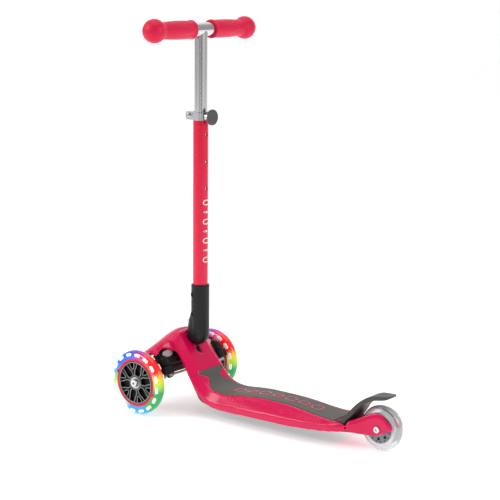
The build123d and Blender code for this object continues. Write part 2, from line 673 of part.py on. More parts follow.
with BuildPart() as rear_core:
    with BuildSketch(across(REAR_AXLE_X, REAR_WHEEL_R)):
        Circle(REAR_CORE_R)
        Circle(SPACER_R + 1.0, mode=Mode.SUBTRACT)
        with PolarLocations(18.0, 8):
            Circle(3.0, mode=Mode.SUBTRACT)
        with PolarLocations(22.6, 16, start_angle=11.25):
            Circle(1.3, mode=Mode.SUBTRACT)
    extrude(amount=rear_half - 1.0, both=True)
    for face in (-1, 1):
        with BuildSketch(across(REAR_AXLE_X, REAR_WHEEL_R, face * (rear_half - 1.0 - BEARING_W))):
            Circle(BEARING_R)
        extrude(amount=-face * (BEARING_W + 2), mode=Mode.SUBTRACT)
save(rear_core, "rear_core")

with BuildPart() as rear_bearings:
    for face in (-1, 1):
        with BuildSketch(across(REAR_AXLE_X, REAR_WHEEL_R, face * (rear_half - 0.8))):
            Circle(BEARING_R)
            Circle(AXLE_R + RUNNING, mode=Mode.SUBTRACT)
        extrude(amount=face * (BEARING_W - 0.1))
save(rear_bearings, "rear_bearings")

with BuildPart() as rear_spacer:
    with BuildSketch(across(REAR_AXLE_X, REAR_WHEEL_R)):
        Circle(SPACER_R)
        Circle(AXLE_R + RUNNING, mode=Mode.SUBTRACT)
    extrude(amount=rear_half - 1.0 - BEARING_W - 0.2, both=True)
save(rear_spacer, "rear_spacer")

FORK_OUTER = 17.9
with BuildPart() as rear_axle_bolt:
    with BuildSketch(across(REAR_AXLE_X, REAR_WHEEL_R, FORK_OUTER)):
        Circle(AXLE_R)
    extrude(amount=2 * FORK_OUTER + 3.0)
    with BuildSketch(across(REAR_AXLE_X, REAR_WHEEL_R, FORK_OUTER)):
        Circle(6.2)
    extrude(amount=-1.7, taper=20)
    with BuildSketch(across(REAR_AXLE_X, REAR_WHEEL_R, FORK_OUTER + 1.8)):
        RegularPolygon(2.6, 6)
    extrude(amount=1.6, mode=Mode.SUBTRACT)
save(rear_axle_bolt, "rear_axle_bolt")

with BuildPart() as rear_axle_nut:
    with BuildSketch(across(REAR_AXLE_X, REAR_WHEEL_R, -FORK_OUTER)):
        RegularPolygon(6.6, 6)
        Circle(AXLE_R, mode=Mode.SUBTRACT)
    extrude(amount=3.5)
save(rear_axle_nut, "rear_axle_nut")

# ------------------------------------------------------------------------ brake

BRAKE_HUB_R = 6.0
BRAKE_TOP = ((-169.2, 45.0), (-180.0, 50.5), (-192.0, 64.0), (-205.0, 80.0), (-218.0, 90.5),
             (-234.0, 97.6), (-250.0, 99.4), (-266.0, 102.0))
BRAKE_UNDER = ((-264.6, 97.0), (-250.0, 92.4), (-238.0, 90.4), (-224.0, 84.8), (-210.0, 74.5),
               (-198.0, 59.5), (-188.0, 47.5))
BRAKE_PLAN = ((-167.0, BRAKE_HALF), (-180.0, BRAKE_HALF), (-196.0, 27.5), (-214.0, 20.5),
              (-236.0, 17.4), (-256.0, 15.4), (-264.0, 12.4))
SPRING_SLOT_R = 5.3
SPRING_SLOT_HALF = 8.0

with BuildPart() as brake:
    with BuildSketch(across(0, 0)):
        with BuildLine():
            Spline(*BRAKE_TOP)
            Line(BRAKE_TOP[-1], BRAKE_UNDER[0])
            Spline(*BRAKE_UNDER)
            Polyline(BRAKE_UNDER[-1], (-184.0, 36.0), (-170.0, 36.0), BRAKE_TOP[0])
        make_face()
    extrude(amount=BRAKE_HALF, both=True)
    with BuildSketch(Plane.XY):
        with BuildLine():
            flank = Spline(*BRAKE_PLAN)
            mirror(flank, about=Plane.XZ)
            Line(BRAKE_PLAN[0], (BRAKE_PLAN[0][0], -BRAKE_PLAN[0][1]))
            ThreePointArc(BRAKE_PLAN[-1], (-267.0, 0), (BRAKE_PLAN[-1][0], -BRAKE_PLAN[-1][1]))
        make_face()
    extrude(amount=130.0, mode=Mode.INTERSECT)
    # bore for the brake pin, and the slot that its torsion spring sits in
    with Locations(Location((BRAKE_PIN_X, 0, BRAKE_PIN_Z), (90, 0, 0))):
        Cylinder(2.5 + RUNNING, 100.0, mode=Mode.SUBTRACT)
        Cylinder(SPRING_SLOT_R, 2 * SPRING_SLOT_HALF, mode=Mode.SUBTRACT)
    with Locations((BRAKE_PIN_X, 0, BRAKE_PIN_Z - 5.0)):
        Box(2 * SPRING_SLOT_R, 2 * SPRING_SLOT_HALF, 10.0, mode=Mode.SUBTRACT)
print("brake solids", len(brake.part.solids()))
save(brake, "brake")

with BuildPart() as brake_pin:
    with Locations(Location((BRAKE_PIN_X, 0, BRAKE_PIN_Z), (90, 0, 0))):
        Cylinder(2.5, 2 * BRAKE_PIN_HALF)
save(brake_pin, "brake_pin")

with BuildPart() as brake_spring:
    add(coil(Vector(BRAKE_PIN_X, -7.0, BRAKE_PIN_Z), (0, 1, 0), 14.0, 3.9, 0.95, 7))
save(brake_spring, "brake_spring")

# ----------------------------------------------------------------- folding post

with BuildPart() as fold_pin:
    with Locations(Location((FOLD_X, 0, FOLD_Z), (90, 0, 0))):
        Cylinder(FOLD_PIN_R, 2 * 15.0)
save(fold_pin, "fold_pin")

TUBE_FOOT = 172.0
PIN_BORE_END = 15.3
SLEEVE_BOLTS = (181.9, 218.7)
SLEEVE_BOLT_X = POST_X + 4.6
SLEEVE_BOLT_R = 2.5
BUTTON_Z = 162.0
BUTTON_HALF_W, BUTTON_HALF_H = 6.0, 6.0
BUTTON_FACE = 190.5
BUTTON_DEPTH = 5.0
BUTTON_POCKET = 178.5           # back of the button's pocket

with BuildPart() as fold_knuckle:
    with Locations((POST_X, 0, FOLD_Z)):
        Cylinder(SLEEVE_R, SLEEVE_TOP - FOLD_Z, align=(Align.CENTER, Align.CENTER, Align.MIN))
    chamfer(fold_knuckle.edges().group_by(Axis.Z)[-1], 1.2)
    # round foot about the fold pin
    with BuildSketch(Plane(origin=(FOLD_X, 0, FOLD_Z), x_dir=(0, 1, 0), z_dir=(1, 0, 0))):
        with BuildLine():
            near = Spline((FOOT_HALF, 0), *FOOT_LINE, (0, KNUCKLE_R), tangents=((0, 1), (-1, 0)))
            mirror(near, about=Plane.YZ)
            Line((FOOT_HALF, 0), (-FOOT_HALF, 0))
        make_face()
    revolve(axis=Axis((FOLD_X, 0, FOLD_Z), (0, 1, 0)))
    # fairing from the sleeve down to the foot, in front of the sleeve
    with BuildSketch(Plane.XY.offset(184.0)):
        with Locations((POST_X + 1.5, 0)):
            Circle(15.6)
    with BuildSketch(Plane.XY.offset(168.0)):
        with Locations((POST_X + 7.6, 0)):
            Circle(15.6)
    with BuildSketch(Plane.XY.offset(FOLD_Z + 2)):
        with Locations((POST_X + 11.0, 0)):
            Circle(15.6)
    loft()
    # round seats for the two sleeve bolts, raised on both sides
    for bolt_z in SLEEVE_BOLTS:
        with Locations(Location((SLEEVE_BOLT_X, 0, bolt_z), (90, 0, 0))):
            Cylinder(5.4, 2 * (SLEEVE_R + 0.3))
    # bore for the tube
    with Locations((POST_X, 0, TUBE_FOOT)):
        Cylinder(OUTER_TUBE_R, 100.0, align=(Align.CENTER, Align.CENTER, Align.MIN), mode=Mode.SUBTRACT)
    for bolt_z in SLEEVE_BOLTS:
        with Locations(Location((SLEEVE_BOLT_X, 0, bolt_z), (90, 0, 0))):
            Cylinder(SLEEVE_BOLT_R, 60.0, mode=Mode.SUBTRACT)
            Cylinder(4.2, 60.0, mode=Mode.SUBTRACT)
    # fold pin bore, open on the right, and the slots for the bracket's ears
    with BuildSketch(across(FOLD_X, FOLD_Z, PIN_BORE_END)):
        Circle(FOLD_PIN_R + RUNNING)
    extrude(amount=40.0, mode=Mode.SUBTRACT)
    for _, side in SIDES:
        with BuildSketch(across(FOLD_X, FOLD_Z, side * (EAR_IN - GAP))):
            Circle(EAR_R + 0.6)
            with BuildLine():
                low = -FOOT_DROP - FOLD_ANGLE - 3.0
                Polyline(
                    (0, 0), fold_point(30, 3), fold_point(34, -30), fold_point(34, -60),
                    fold_point(34, -90), fold_point(30, low), close=True,
                )
            make_face()
        extrude(amount=-side * (EAR_OUT - EAR_IN + 2 * GAP), mode=Mode.SUBTRACT)
    # pocket for the fold latch on the front
    with Locations((BUTTON_POCKET + 10.0, 0, BUTTON_Z)):
        Box(20.0, 2 * (BUTTON_HALF_W + GAP), 2 * (BUTTON_HALF_H + GAP), mode=Mode.SUBTRACT)
print("knuckle solids", len(fold_knuckle.part.solids()), fold_knuckle.part.bounding_box())
save(fold_knuckle, "fold_knuckle")

with BuildPart() as pin_cap:
    with BuildSketch(across(FOLD_X, FOLD_Z, -PIN_BORE_END)):
        Circle(FOLD_PIN_R + RUNNING)
    extrude(amount=FOOT_HALF - 0.2 - PIN_BORE_END)
save(pin_cap, "pin_cap")

with BuildPart() as fold_latch:
    with Locations((BUTTON_FACE - BUTTON_DEPTH / 2, 0, BUTTON_Z)):
        Box(BUTTON_DEPTH, 2 * BUTTON_HALF_W, 2 * BUTTON_HALF_H)
    fillet(fold_latch.faces().sort_by(Axis.X)[-1].edges(), 1.2)
    fillet(fold_latch.edges().filter_by(Axis.X), 1.0)
print("latch solids", len(fold_latch.part.solids()))
save(fold_latch, "fold_latch")

with BuildPart() as fold_latch_spring:
    spring_length = BUTTON_FACE - BUTTON_DEPTH - BUTTON_POCKET - 0.4
    add(coil(Vector(BUTTON_POCKET + 0.2, 0, BUTTON_Z), (1, 0, 0), spring_length, 3.0, 0.4, 5))
save(fold_latch_spring, "fold_latch_spring")

with BuildPart() as sleeve_bolts:
    for bolt_z in SLEEVE_BOLTS:
        for side in (1, -1):
            with BuildSketch(across(SLEEVE_BOLT_X, bolt_z, side * 14.8)):
                Circle(4.1)
                RegularPolygon(1.8, 6, mode=Mode.SUBTRACT)
            extrude(amount=-side * 1.6)
        with BuildSketch(across(SLEEVE_BOLT_X, bolt_z, 14.8)):
            Circle(SLEEVE_BOLT_R)
        extrude(amount=29.6)
print("sleeve bolts solids", len(sleeve_bolts.part.solids()))
save(sleeve_bolts, "sleeve_bolts")

TUBE_TOP = COLLAR_TOP - 1.0
HOLES = tuple(HOLE_MIDDLE_Z + step * HOLE_PITCH for step in (-1, 0, 1))
KNOB_Z = 552.5
KNOB_FACE = POST_X - 29.8

with BuildPart() as outer_tube:
    with Locations((POST_X, 0, TUBE_FOOT)):
        Cylinder(OUTER_TUBE_R, TUBE_TOP - TUBE_FOOT, align=(Align.CENTER, Align.CENTER, Align.MIN))
        Cylinder(
            OUTER_TUBE_BORE, TUBE_TOP - TUBE_FOOT, align=(Align.CENTER, Align.CENTER, Align.MIN),
            mode=Mode.SUBTRACT,
        )
    for hole_z in HOLES:
        with Locations(Location((POST_X - 14.0, 0, hole_z), (0, 90, 0))):
            Cylinder(HOLE_R, 12.0, mode=Mode.SUBTRACT)
    for bolt_z in SLEEVE_BOLTS:
        with Locations(Location((SLEEVE_BOLT_X, 0, bolt_z), (90, 0, 0))):
            Cylinder(SLEEVE_BOLT_R, 60.0, mode=Mode.SUBTRACT)
    # clamping slit at the front, and the hole for the knob's screw
    with Locations((POST_X + 14.0, 0, TUBE_TOP - 12.0)):
        Box(8.0, 2.0, 24.1, mode=Mode.SUBTRACT)
    with Locations(Location((POST_X - 14.0, 0, KNOB_Z), (0, 90, 0))):
        Cylinder(3.0 + GAP, 12.0, mode=Mode.SUBTRACT)
save(outer_tube, "outer_tube")

with BuildPart() as guide_bush:
    with Locations((POST_X, 0, 526.0)):
        Cylinder(OUTER_TUBE_BORE, TUBE_TOP - 526.0, align=(Align.CENTER, Align.CENTER, Align.MIN))
        Cylinder(
            INNER_TUBE_R + RUNNING, 60.0, align=(Align.CENTER, Align.CENTER, Align.MIN),
            mode=Mode.SUBTRACT,
        )
    with Locations((POST_X + 14.0, 0, TUBE_TOP - 12.0)):
        Box(8.0, 2.0, 60.0, mode=Mode.SUBTRACT)
    with Locations(Location((POST_X - 14.0, 0, KNOB_Z), (0, 90, 0))):
        Cylinder(3.0 + GAP, 12.0, mode=Mode.SUBTRACT)
save(guide_bush, "guide_bush")

PINCH_X = POST_X + 22.6
PINCH_Z = (COLLAR_LOW + COLLAR_TOP) / 2
LUG_FRONT = POST_X + 29.5
with BuildPart() as clamp_collar:
    with Locations((POST_X, 0, COLLAR_LOW)):
        Cylinder(COLLAR_R, COLLAR_TOP - COLLAR_LOW, align=(Align.CENTER, Align.CENTER, Align.MIN))
    with Locations(((POST_X + 12.0 + LUG_FRONT) / 2, 0, PINCH_Z)):
        Box(LUG_FRONT - POST_X - 12.0, 16.0, COLLAR_TOP - COLLAR_LOW)
    fillet(clamp_collar.edges().filter_by(Axis.Y).group_by(Axis.X)[-1], 4.0)
    with Locations(Location((POST_X - 17.0, 0, KNOB_Z), (0, 90, 0))):
        Cylinder(7.6, 7.0)
    with Locations((POST_X, 0, COLLAR_LOW)):
        Cylinder(OUTER_TUBE_R, 40.0, mode=Mode.SUBTRACT)
    with Locations((POST_X + 24.0, 0, PINCH_Z)):
        Box(26.0, 2.0, 20.0, mode=Mode.SUBTRACT)
    with Locations(Location((PINCH_X, 0, PINCH_Z), (90, 0, 0))):
        Cylinder(2.5, 40.0, mode=Mode.SUBTRACT)
    with Locations(Location((POST_X - 18.0, 0, KNOB_Z), (0, 90, 0))):
        Cylinder(3.0 + GAP, 14.0, mode=Mode.SUBTRACT)
print("collar solids", len(clamp_collar.part.solids()))
save(clamp_collar, "clamp_collar")

with BuildPart() as pinch_bolt:
    with BuildSketch(across(PINCH_X, PINCH_Z, -8.0)):
        Circle(4.6)
    extrude(amount=4.0)
    with BuildSketch(across(PINCH_X, PINCH_Z, -12.0)):
        RegularPolygon(2.2, 6)
    extrude(amount=-2.0, mode=Mode.SUBTRACT)
    with BuildSketch(across(PINCH_X, PINCH_Z, -8.0)):
        Circle(2.5)
    extrude(amount=-18.0)
save(pinch_bolt, "pinch_bolt")

with BuildPart() as pinch_nut:
    with BuildSketch(across(PINCH_X, PINCH_Z, 8.0)):
        RegularPolygon(5.4, 6)
    extrude(amount=-2.6)
    with BuildSketch(across(PINCH_X, PINCH_Z, 10.6)):
        Circle(4.4)
    extrude(amount=-2.4, taper=35)
    with BuildSketch(across(PINCH_X, PINCH_Z, 8.0)):
        Circle(2.5)
    extrude(amount=-2.2, mode=Mode.SUBTRACT)
save(pinch_nut, "pinch_nut")

with BuildPart() as lock_knob:
    with Locations(Location((KNOB_FACE, 0, KNOB_Z), (0, 90, 0))):
        Cylinder(14.5, 4.4, align=(Align.CENTER, Align.CENTER, Align.MIN))
        Cylinder(7.0, POST_X - 20.5 - GAP - KNOB_FACE, align=(Align.CENTER, Align.CENTER, Align.MIN))
        Cylinder(3.0, POST_X - 12.7 - KNOB_FACE, align=(Align.CENTER, Align.CENTER, Align.MIN))
    rims = lock_knob.faces().sort_by(Axis.X)[0].edges()
    fillet(rims, 1.4)
    # finger notches round the rim
    with BuildSketch(Plane(origin=(KNOB_FACE - 1, 0, KNOB_Z), x_dir=(0, 1, 0), z_dir=(1, 0, 0))):
        with PolarLocations(15.3, 14):
            Circle(1.5)
    extrude(amount=5.6, mode=Mode.SUBTRACT)
save(lock_knob, "lock_knob")

# -------------------------------------------------------------------- handlebar

INNER_FOOT = 320.0
BUTTON_R = 3.0
BUTTON_INSIDE = POST_X - 8.6            # inner end of the snap button
BUTTON_TIP = POST_X - 12.6              # just inside the outer tube's bore

with BuildPart() as inner_tube:
    with Locations((POST_X, 0, INNER_FOOT)):
        Cylinder(INNER_TUBE_R, BAR_Z - INNER_FOOT, align=(Align.CENTER, Align.CENTER, Align.MIN))
        Cylinder(
            INNER_TUBE_BORE, BAR_Z - INNER_FOOT, align=(Align.CENTER, Align.CENTER, Align.MIN),
            mode=Mode.SUBTRACT,
        )
    with Locations(Location((POST_X, 0, BAR_Z), (90, 0, 0))):
        Cylinder(BAR_R, 60.0, mode=Mode.SUBTRACT)
    with Locations(Location((POST_X - 12.0, 0, HOLE_MIDDLE_Z), (0, 90, 0))):
        Cylinder(BUTTON_R + 0.1, 10.0, mode=Mode.SUBTRACT)
inner_main = inner_tube.part.solids().sort_by(SortBy.VOLUME)[-1]
print("inner tube solids", len(inner_tube.part.solids()))
with BuildPart() as inner_tube:
    add(inner_main)
save(inner_tube, "inner_tube")

with BuildPart() as crossbar:
    with Locations(Location((POST_X, 0, BAR_Z), (90, 0, 0))):
        Cylinder(BAR_R, 2 * 124.0)
        Cylinder(BAR_R - 1.8, 2 * 124.0, mode=Mode.SUBTRACT)
save(crossbar, "crossbar")

for name, side in SIDES:
    with BuildPart() as grip:
        with BuildSketch(Plane(origin=(POST_X, 0, BAR_Z), x_dir=(0, side, 0), z_dir=(side, 0, 0))):
            with BuildLine():
                ball_start = 118.0
                ball_rise = sqrt(GRIP_BALL_R ** 2 - (GRIP_BALL_Y - ball_start) ** 2)
                Polyline((GRIP_START, 0), (GRIP_START, 16.6), (GRIP_START + 0.8, 17.4),
                         (GRIP_START + 3.2, 17.4), (GRIP_START + 4.4, 16.2))
                Spline((GRIP_START + 4.4, 16.2), (52.0, 16.7), (80.0, 16.5), (108.0, 15.0),
                       tangents=((1, 0.05), (1, -0.05)))
                Spline((108.0, 15.0), (ball_start, ball_rise), tangents=((1, -0.05), (0.62, 0.8)))
                ThreePointArc(
                    (ball_start, ball_rise), (GRIP_BALL_Y, GRIP_BALL_R), (GRIP_BALL_Y + GRIP_BALL_R, 0),
                )
                Line((GRIP_BALL_Y + GRIP_BALL_R, 0), (GRIP_START, 0))
            make_face()
        revolve(axis=Axis((POST_X, 0, BAR_Z), (0, 1, 0)))
        with BuildSketch(across(POST_X, BAR_Z, 0)):
            Circle(BAR_R)
        extrude(amount=-side * 124.5, mode=Mode.SUBTRACT)
    print("grip", grip.part.is_valid, grip.part.bounding_box())
    save(grip, f"grip_{name}")

with BuildPart() as snap_button:
    with Locations(Location((BUTTON_INSIDE, 0, HOLE_MIDDLE_Z), (0, -90, 0))):
        Cylinder(BUTTON_R, BUTTON_INSIDE - BUTTON_TIP, align=(Align.CENTER, Align.CENTER, Align.MIN))
    fillet(snap_button.faces().sort_by(Axis.X)[0].edges(), 1.4)
save(snap_button, "snap_button")

# the leaf behind the button: a V of spring strip inside the inner tube
LEAF = 0.8
with BuildPart() as snap_spring:
    with BuildSketch(across(POST_X, HOLE_MIDDLE_Z)):
        with BuildLine():
            Polyline(
                (-8.4, 8.0), (-8.4, -8.0), (0.0, -44.0), (8.4, -8.0), (8.4 - LEAF, -7.8),
                (0.0, -44.0 + 3.4), (-8.4 + LEAF, -7.8), (-8.4 + LEAF, 8.0), close=True,
            )
        make_face()
    extrude(amount=3.0, both=True)
save(snap_spring, "snap_spring")

# ------------------------------------------------------------ steering lock button

LOCK_TRAVEL = 3.0
with BuildPart() as steering_lock_button:
    with Locations(Location((LOCK_FRONT, 0, LOCK_Z), (0, -90, 0))):
        Cylinder(LOCK_CAP_R, LOCK_FRONT - LOCK_SEAT - LOCK_TRAVEL - 0.4,
                 align=(Align.CENTER, Align.CENTER, Align.MIN))
        Cylinder(3.0, LOCK_FRONT - LOCK_SEAT + 6.0, align=(Align.CENTER, Align.CENTER, Align.MIN))
    fillet(steering_lock_button.faces().sort_by(Axis.X)[-1].edges(), 1.5)
save(steering_lock_button, "steering_lock_button")

with BuildPart() as lock_button_spring:
    add(coil(Vector(LOCK_SEAT + 0.1, 0, LOCK_Z), (1, 0, 0), 3.2, 5.0, 0.38, 4))
save(lock_button_spring, "lock_button_spring")
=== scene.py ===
# %% [markdown]
# # A folding kick scooter for a small child
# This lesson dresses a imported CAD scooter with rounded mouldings, rubber, painted
# tube and lit wheels. The CAD gives every size and every moving body. Blender adds
# the soft edges, the small relief and the finishes, and moves nothing.

# %% Load the frame
import json
from math import asin, ceil, cos, pi, radians, sin, sqrt

import bmesh
import bpy
from mathutils import Matrix, Vector
from mathutils.bvhtree import BVHTree


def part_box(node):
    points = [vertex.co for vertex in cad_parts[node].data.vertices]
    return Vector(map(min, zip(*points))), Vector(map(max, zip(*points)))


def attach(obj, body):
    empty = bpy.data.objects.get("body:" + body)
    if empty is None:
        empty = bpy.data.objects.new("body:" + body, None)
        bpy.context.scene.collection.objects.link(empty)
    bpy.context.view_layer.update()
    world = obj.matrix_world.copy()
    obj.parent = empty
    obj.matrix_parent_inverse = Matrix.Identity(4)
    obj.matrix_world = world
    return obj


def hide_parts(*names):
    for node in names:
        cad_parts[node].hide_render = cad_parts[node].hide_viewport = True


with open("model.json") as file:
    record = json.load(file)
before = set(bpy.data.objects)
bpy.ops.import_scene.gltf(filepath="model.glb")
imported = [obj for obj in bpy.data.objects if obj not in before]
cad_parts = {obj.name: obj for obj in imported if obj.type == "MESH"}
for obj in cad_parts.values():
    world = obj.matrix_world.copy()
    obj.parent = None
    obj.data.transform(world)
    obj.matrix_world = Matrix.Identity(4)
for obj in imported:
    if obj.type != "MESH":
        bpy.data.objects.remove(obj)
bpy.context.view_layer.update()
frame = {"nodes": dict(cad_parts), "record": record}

MM = 0.001
nodes = frame["nodes"]
body_of = {n: body for body, members in frame["record"]["behaviour"]["bodies"].items() for n in members}

# %% [markdown]
# ## Camera
# A long lens from behind the rider's left, a little above the bar, keeps the tall
# post upright and shows the deck at a slant. Its axes are written out as a matrix,
# because three angles and a place say exactly where a camera stands.

# %% Camera
CAMERA_AT = Vector((-1.54146, 2.06373, 0.81856))
YAW, PITCH, ROLL = radians(37.614), radians(10.896), radians(0.5305)
SENSOR_WIDTH, LENS = 36.0, 104.945

look = Vector((sin(YAW) * cos(PITCH), -cos(YAW) * cos(PITCH), -sin(PITCH)))
level = look.cross(Vector((0, 0, 1))).normalized()
upright = level.cross(look)
right = level * cos(ROLL) + upright * sin(ROLL)
up = upright * cos(ROLL) - level * sin(ROLL)

camera_data = bpy.data.cameras.new("camera")
camera_data.sensor_width = SENSOR_WIDTH
camera_data.lens = LENS
camera = bpy.data.objects.new("camera", camera_data)
axes = Matrix((right, up, -look)).transposed()
camera.matrix_world = Matrix.Translation(CAMERA_AT) @ axes.to_4x4()
bpy.context.scene.collection.objects.link(camera)
bpy.context.scene.camera = camera
print("camera lens", camera_data.lens)

# %% [markdown]
# ## Floor and backdrop
# The floor bends up into the backdrop as a paper sweep does, so no horizon shows.
# A flat plane and a wall would leave a line where they meet. The paper also glows a
# little, which keeps it pale where the lamps don't reach.

# %% Plain materials and meshes
def plain_material(name, colour, roughness):
    """A Principled material with one colour and one roughness."""
    material = bpy.data.materials.new(name)
    material.use_nodes = True
    shader = material.node_tree.nodes["Principled BSDF"]
    shader.inputs["Base Color"].default_value = (*colour, 1)
    shader.inputs["Roughness"].default_value = roughness
    return material


def mesh_object(name, points, faces, smooth=True):
    """A new mesh object from points and faces, linked to the scene."""
    mesh = bpy.data.meshes.new(name)
    mesh.from_pydata([tuple(point) for point in points], [], faces)
    mesh.validate()
    mesh.polygons.foreach_set("use_smooth", [smooth] * len(mesh.polygons))
    made = bpy.data.objects.new(name, mesh)
    bpy.context.scene.collection.objects.link(made)
    return made


print("studio helpers ready")

# %% Studio sweep
away = Vector((look.x, look.y, 0)).normalized()
aside = Vector((away.y, -away.x, 0))
SWEEP_START, SWEEP_BACK, SWEEP_R = -5.0, 3.0, 1.2
SWEEP_HALF, SWEEP_TOP, SWEEP_STEPS = 6.0, 5.0, 16
PAPER_GLOW = 0.4
profile = [(SWEEP_START, 0.0), (SWEEP_BACK, 0.0)]
for step in range(1, SWEEP_STEPS + 1):
    angle = radians(90 * step / SWEEP_STEPS)
    profile.append((SWEEP_BACK + SWEEP_R * sin(angle), SWEEP_R * (1 - cos(angle))))
profile.append((SWEEP_BACK + SWEEP_R, SWEEP_TOP))
points, faces = [], []
for run, height in profile:
    for edge in (-SWEEP_HALF, SWEEP_HALF):
        points.append(away * run + aside * edge + Vector((0, 0, height)))
for row in range(len(profile) - 1):
    faces.append((2 * row, 2 * row + 1, 2 * row + 3, 2 * row + 2))
sweep = mesh_object("studio_sweep", points, faces)
paper = plain_material("sweep_paper", (0.92, 0.92, 0.92), 0.6)
glow_sockets = paper.node_tree.nodes["Principled BSDF"].inputs
glow_sockets["Emission Color"].default_value = (1, 1, 1, 1)
glow_sockets["Emission Strength"].default_value = PAPER_GLOW
sweep.data.materials.append(paper)
print("sweep faces", len(sweep.data.polygons))

# %% [markdown]
# ## Lights
# Broad area lights from both sides draw the long soft stripes that tell an eye that
# a tube is round, and a pale world fills the shadows. Small hard lamps would give
# each tube a thin white line instead.

# %% Lights
LIGHT_AIM = Vector((0, 0, 0.35))
AIR_STRENGTH = 0.34


def area_light(name, place, size, power):
    """A square soft light that faces the scooter."""
    data = bpy.data.lights.new(name, "AREA")
    data.size, data.energy = size, power
    lamp = bpy.data.objects.new(name, data)
    lamp.location = place
    lamp.rotation_euler = (LIGHT_AIM - Vector(place)).to_track_quat("-Z", "Y").to_euler()
    bpy.context.scene.collection.objects.link(lamp)


area_light("key", -away * 0.6 - aside * 2.4 + Vector((0, 0, 1.9)), 1.3, 32)
area_light("side", -away * 1.2 + aside * 2.2 + Vector((0, 0, 1.4)), 1.1, 18)
area_light("top", Vector((0, 0, 2.8)) + away * 0.3, 2.4, 24)

world = bpy.data.worlds.new("studio_air")
world.use_nodes = True
air_sockets = world.node_tree.nodes["Background"].inputs
air_sockets["Color"].default_value = (1, 1, 1, 1)
air_sockets["Strength"].default_value = AIR_STRENGTH
bpy.context.scene.world = world
bpy.context.scene.view_settings.view_transform = "Standard"
print("lights", len(bpy.data.lights))

# %% [markdown]
# ## Dark cards
# A bright metal tube only looks like metal when something dark stands near it. Two
# tall dark cards do that here. They are hidden from the camera and cast no shadow,
# so they are seen in reflections alone.

# %% Dark cards
CARD_NEARER, CARD_FOOT, CARD_TOP = 3.3, 0.02, 2.6
card_black = plain_material("card_black", (0.012, 0.012, 0.012), 0.8)
for label, across_at, width in (("near", 0.75, 0.7), ("far", -1.15, 0.45)):
    foot = -away * CARD_NEARER + aside * across_at
    corners = [foot + aside * edge * width / 2 + Vector((0, 0, height))
               for edge, height in ((-1, CARD_FOOT), (1, CARD_FOOT), (1, CARD_TOP), (-1, CARD_TOP))]
    card = mesh_object(f"dark_card_{label}", corners, [(0, 1, 2, 3)], smooth=False)
    card.data.materials.append(card_black)
    card.visible_camera = False
    card.visible_diffuse = False
    card.visible_shadow = False
print("dark cards ready")

# %% [markdown]
# ## Shared surface effects
# No real surface is one flat number. Three small node groups are built once and
# placed in the materials that use them: one shifts a colour slightly from place to
# place, one gives the height of a fine moulded grain, and one finds where a point
# lies round a wheel, which the tyres use for their lights.

# %% Node group helpers
def new_group(name, inputs, outputs):
    """An empty shader node group with named float, vector or colour sockets."""
    group = bpy.data.node_groups.new(name, "ShaderNodeTree")
    kinds = {"float": "NodeSocketFloat", "vector": "NodeSocketVector", "colour": "NodeSocketColor"}
    for label, kind, value in inputs:
        socket = group.interface.new_socket(label, in_out="INPUT", socket_type=kinds[kind])
        socket.default_value = value
    for label, kind in outputs:
        group.interface.new_socket(label, in_out="OUTPUT", socket_type=kinds[kind])
    return group, group.nodes.new("NodeGroupInput"), group.nodes.new("NodeGroupOutput")


def maths(tree, operation, *values):
    """A Math node whose inputs are numbers or sockets, and its output socket."""
    node = tree.nodes.new("ShaderNodeMath")
    node.operation = operation
    for index, value in enumerate(values):
        if isinstance(value, (int, float)):
            node.inputs[index].default_value = value
        else:
            tree.links.new(value, node.inputs[index])
    return node.outputs[0]


print("group helpers ready")

# %% Colour tone group
tone_group, enters, leaves = new_group(
    "colour_tone",
    [("Colour", "colour", (0.5, 0.5, 0.5, 1)), ("Shade", "colour", (0.4, 0.4, 0.4, 1)),
     ("Scale", "float", 30.0), ("Amount", "float", 0.3)],
    [("Colour", "colour"), ("Mask", "float")],
)
place = tone_group.nodes.new("ShaderNodeTexCoord")
cloud = tone_group.nodes.new("ShaderNodeTexNoise")
cloud.inputs["Detail"].default_value = 4.0
tone_group.links.new(place.outputs["Object"], cloud.inputs["Vector"])
tone_group.links.new(enters.outputs["Scale"], cloud.inputs["Scale"])
masked = maths(tone_group, "MULTIPLY", cloud.outputs["Fac"], enters.outputs["Amount"])
mix = tone_group.nodes.new("ShaderNodeMix")
mix.data_type = "RGBA"
tone_group.links.new(masked, mix.inputs["Factor"])
tone_group.links.new(enters.outputs["Colour"], mix.inputs["A"])
tone_group.links.new(enters.outputs["Shade"], mix.inputs["B"])
tone_group.links.new(mix.outputs["Result"], leaves.inputs["Colour"])
tone_group.links.new(cloud.outputs["Fac"], leaves.inputs["Mask"])
print("made", tone_group.name)

# %% Moulded grain group
grain_group, enters, leaves = new_group(
    "moulded_grain",
    [("Scale", "float", 900.0), ("Pits", "float", 0.5)],
    [("Height", "float")],
)
place = grain_group.nodes.new("ShaderNodeTexCoord")
fine = grain_group.nodes.new("ShaderNodeTexNoise")
fine.inputs["Detail"].default_value = 2.0
cells = grain_group.nodes.new("ShaderNodeTexVoronoi")
for texture in (fine, cells):
    grain_group.links.new(place.outputs["Object"], texture.inputs["Vector"])
    grain_group.links.new(enters.outputs["Scale"], texture.inputs["Scale"])
pits = maths(grain_group, "MULTIPLY", cells.outputs["Distance"], enters.outputs["Pits"])
grain_group.links.new(maths(grain_group, "ADD", fine.outputs["Fac"], pits), leaves.inputs["Height"])
print("made", grain_group.name)

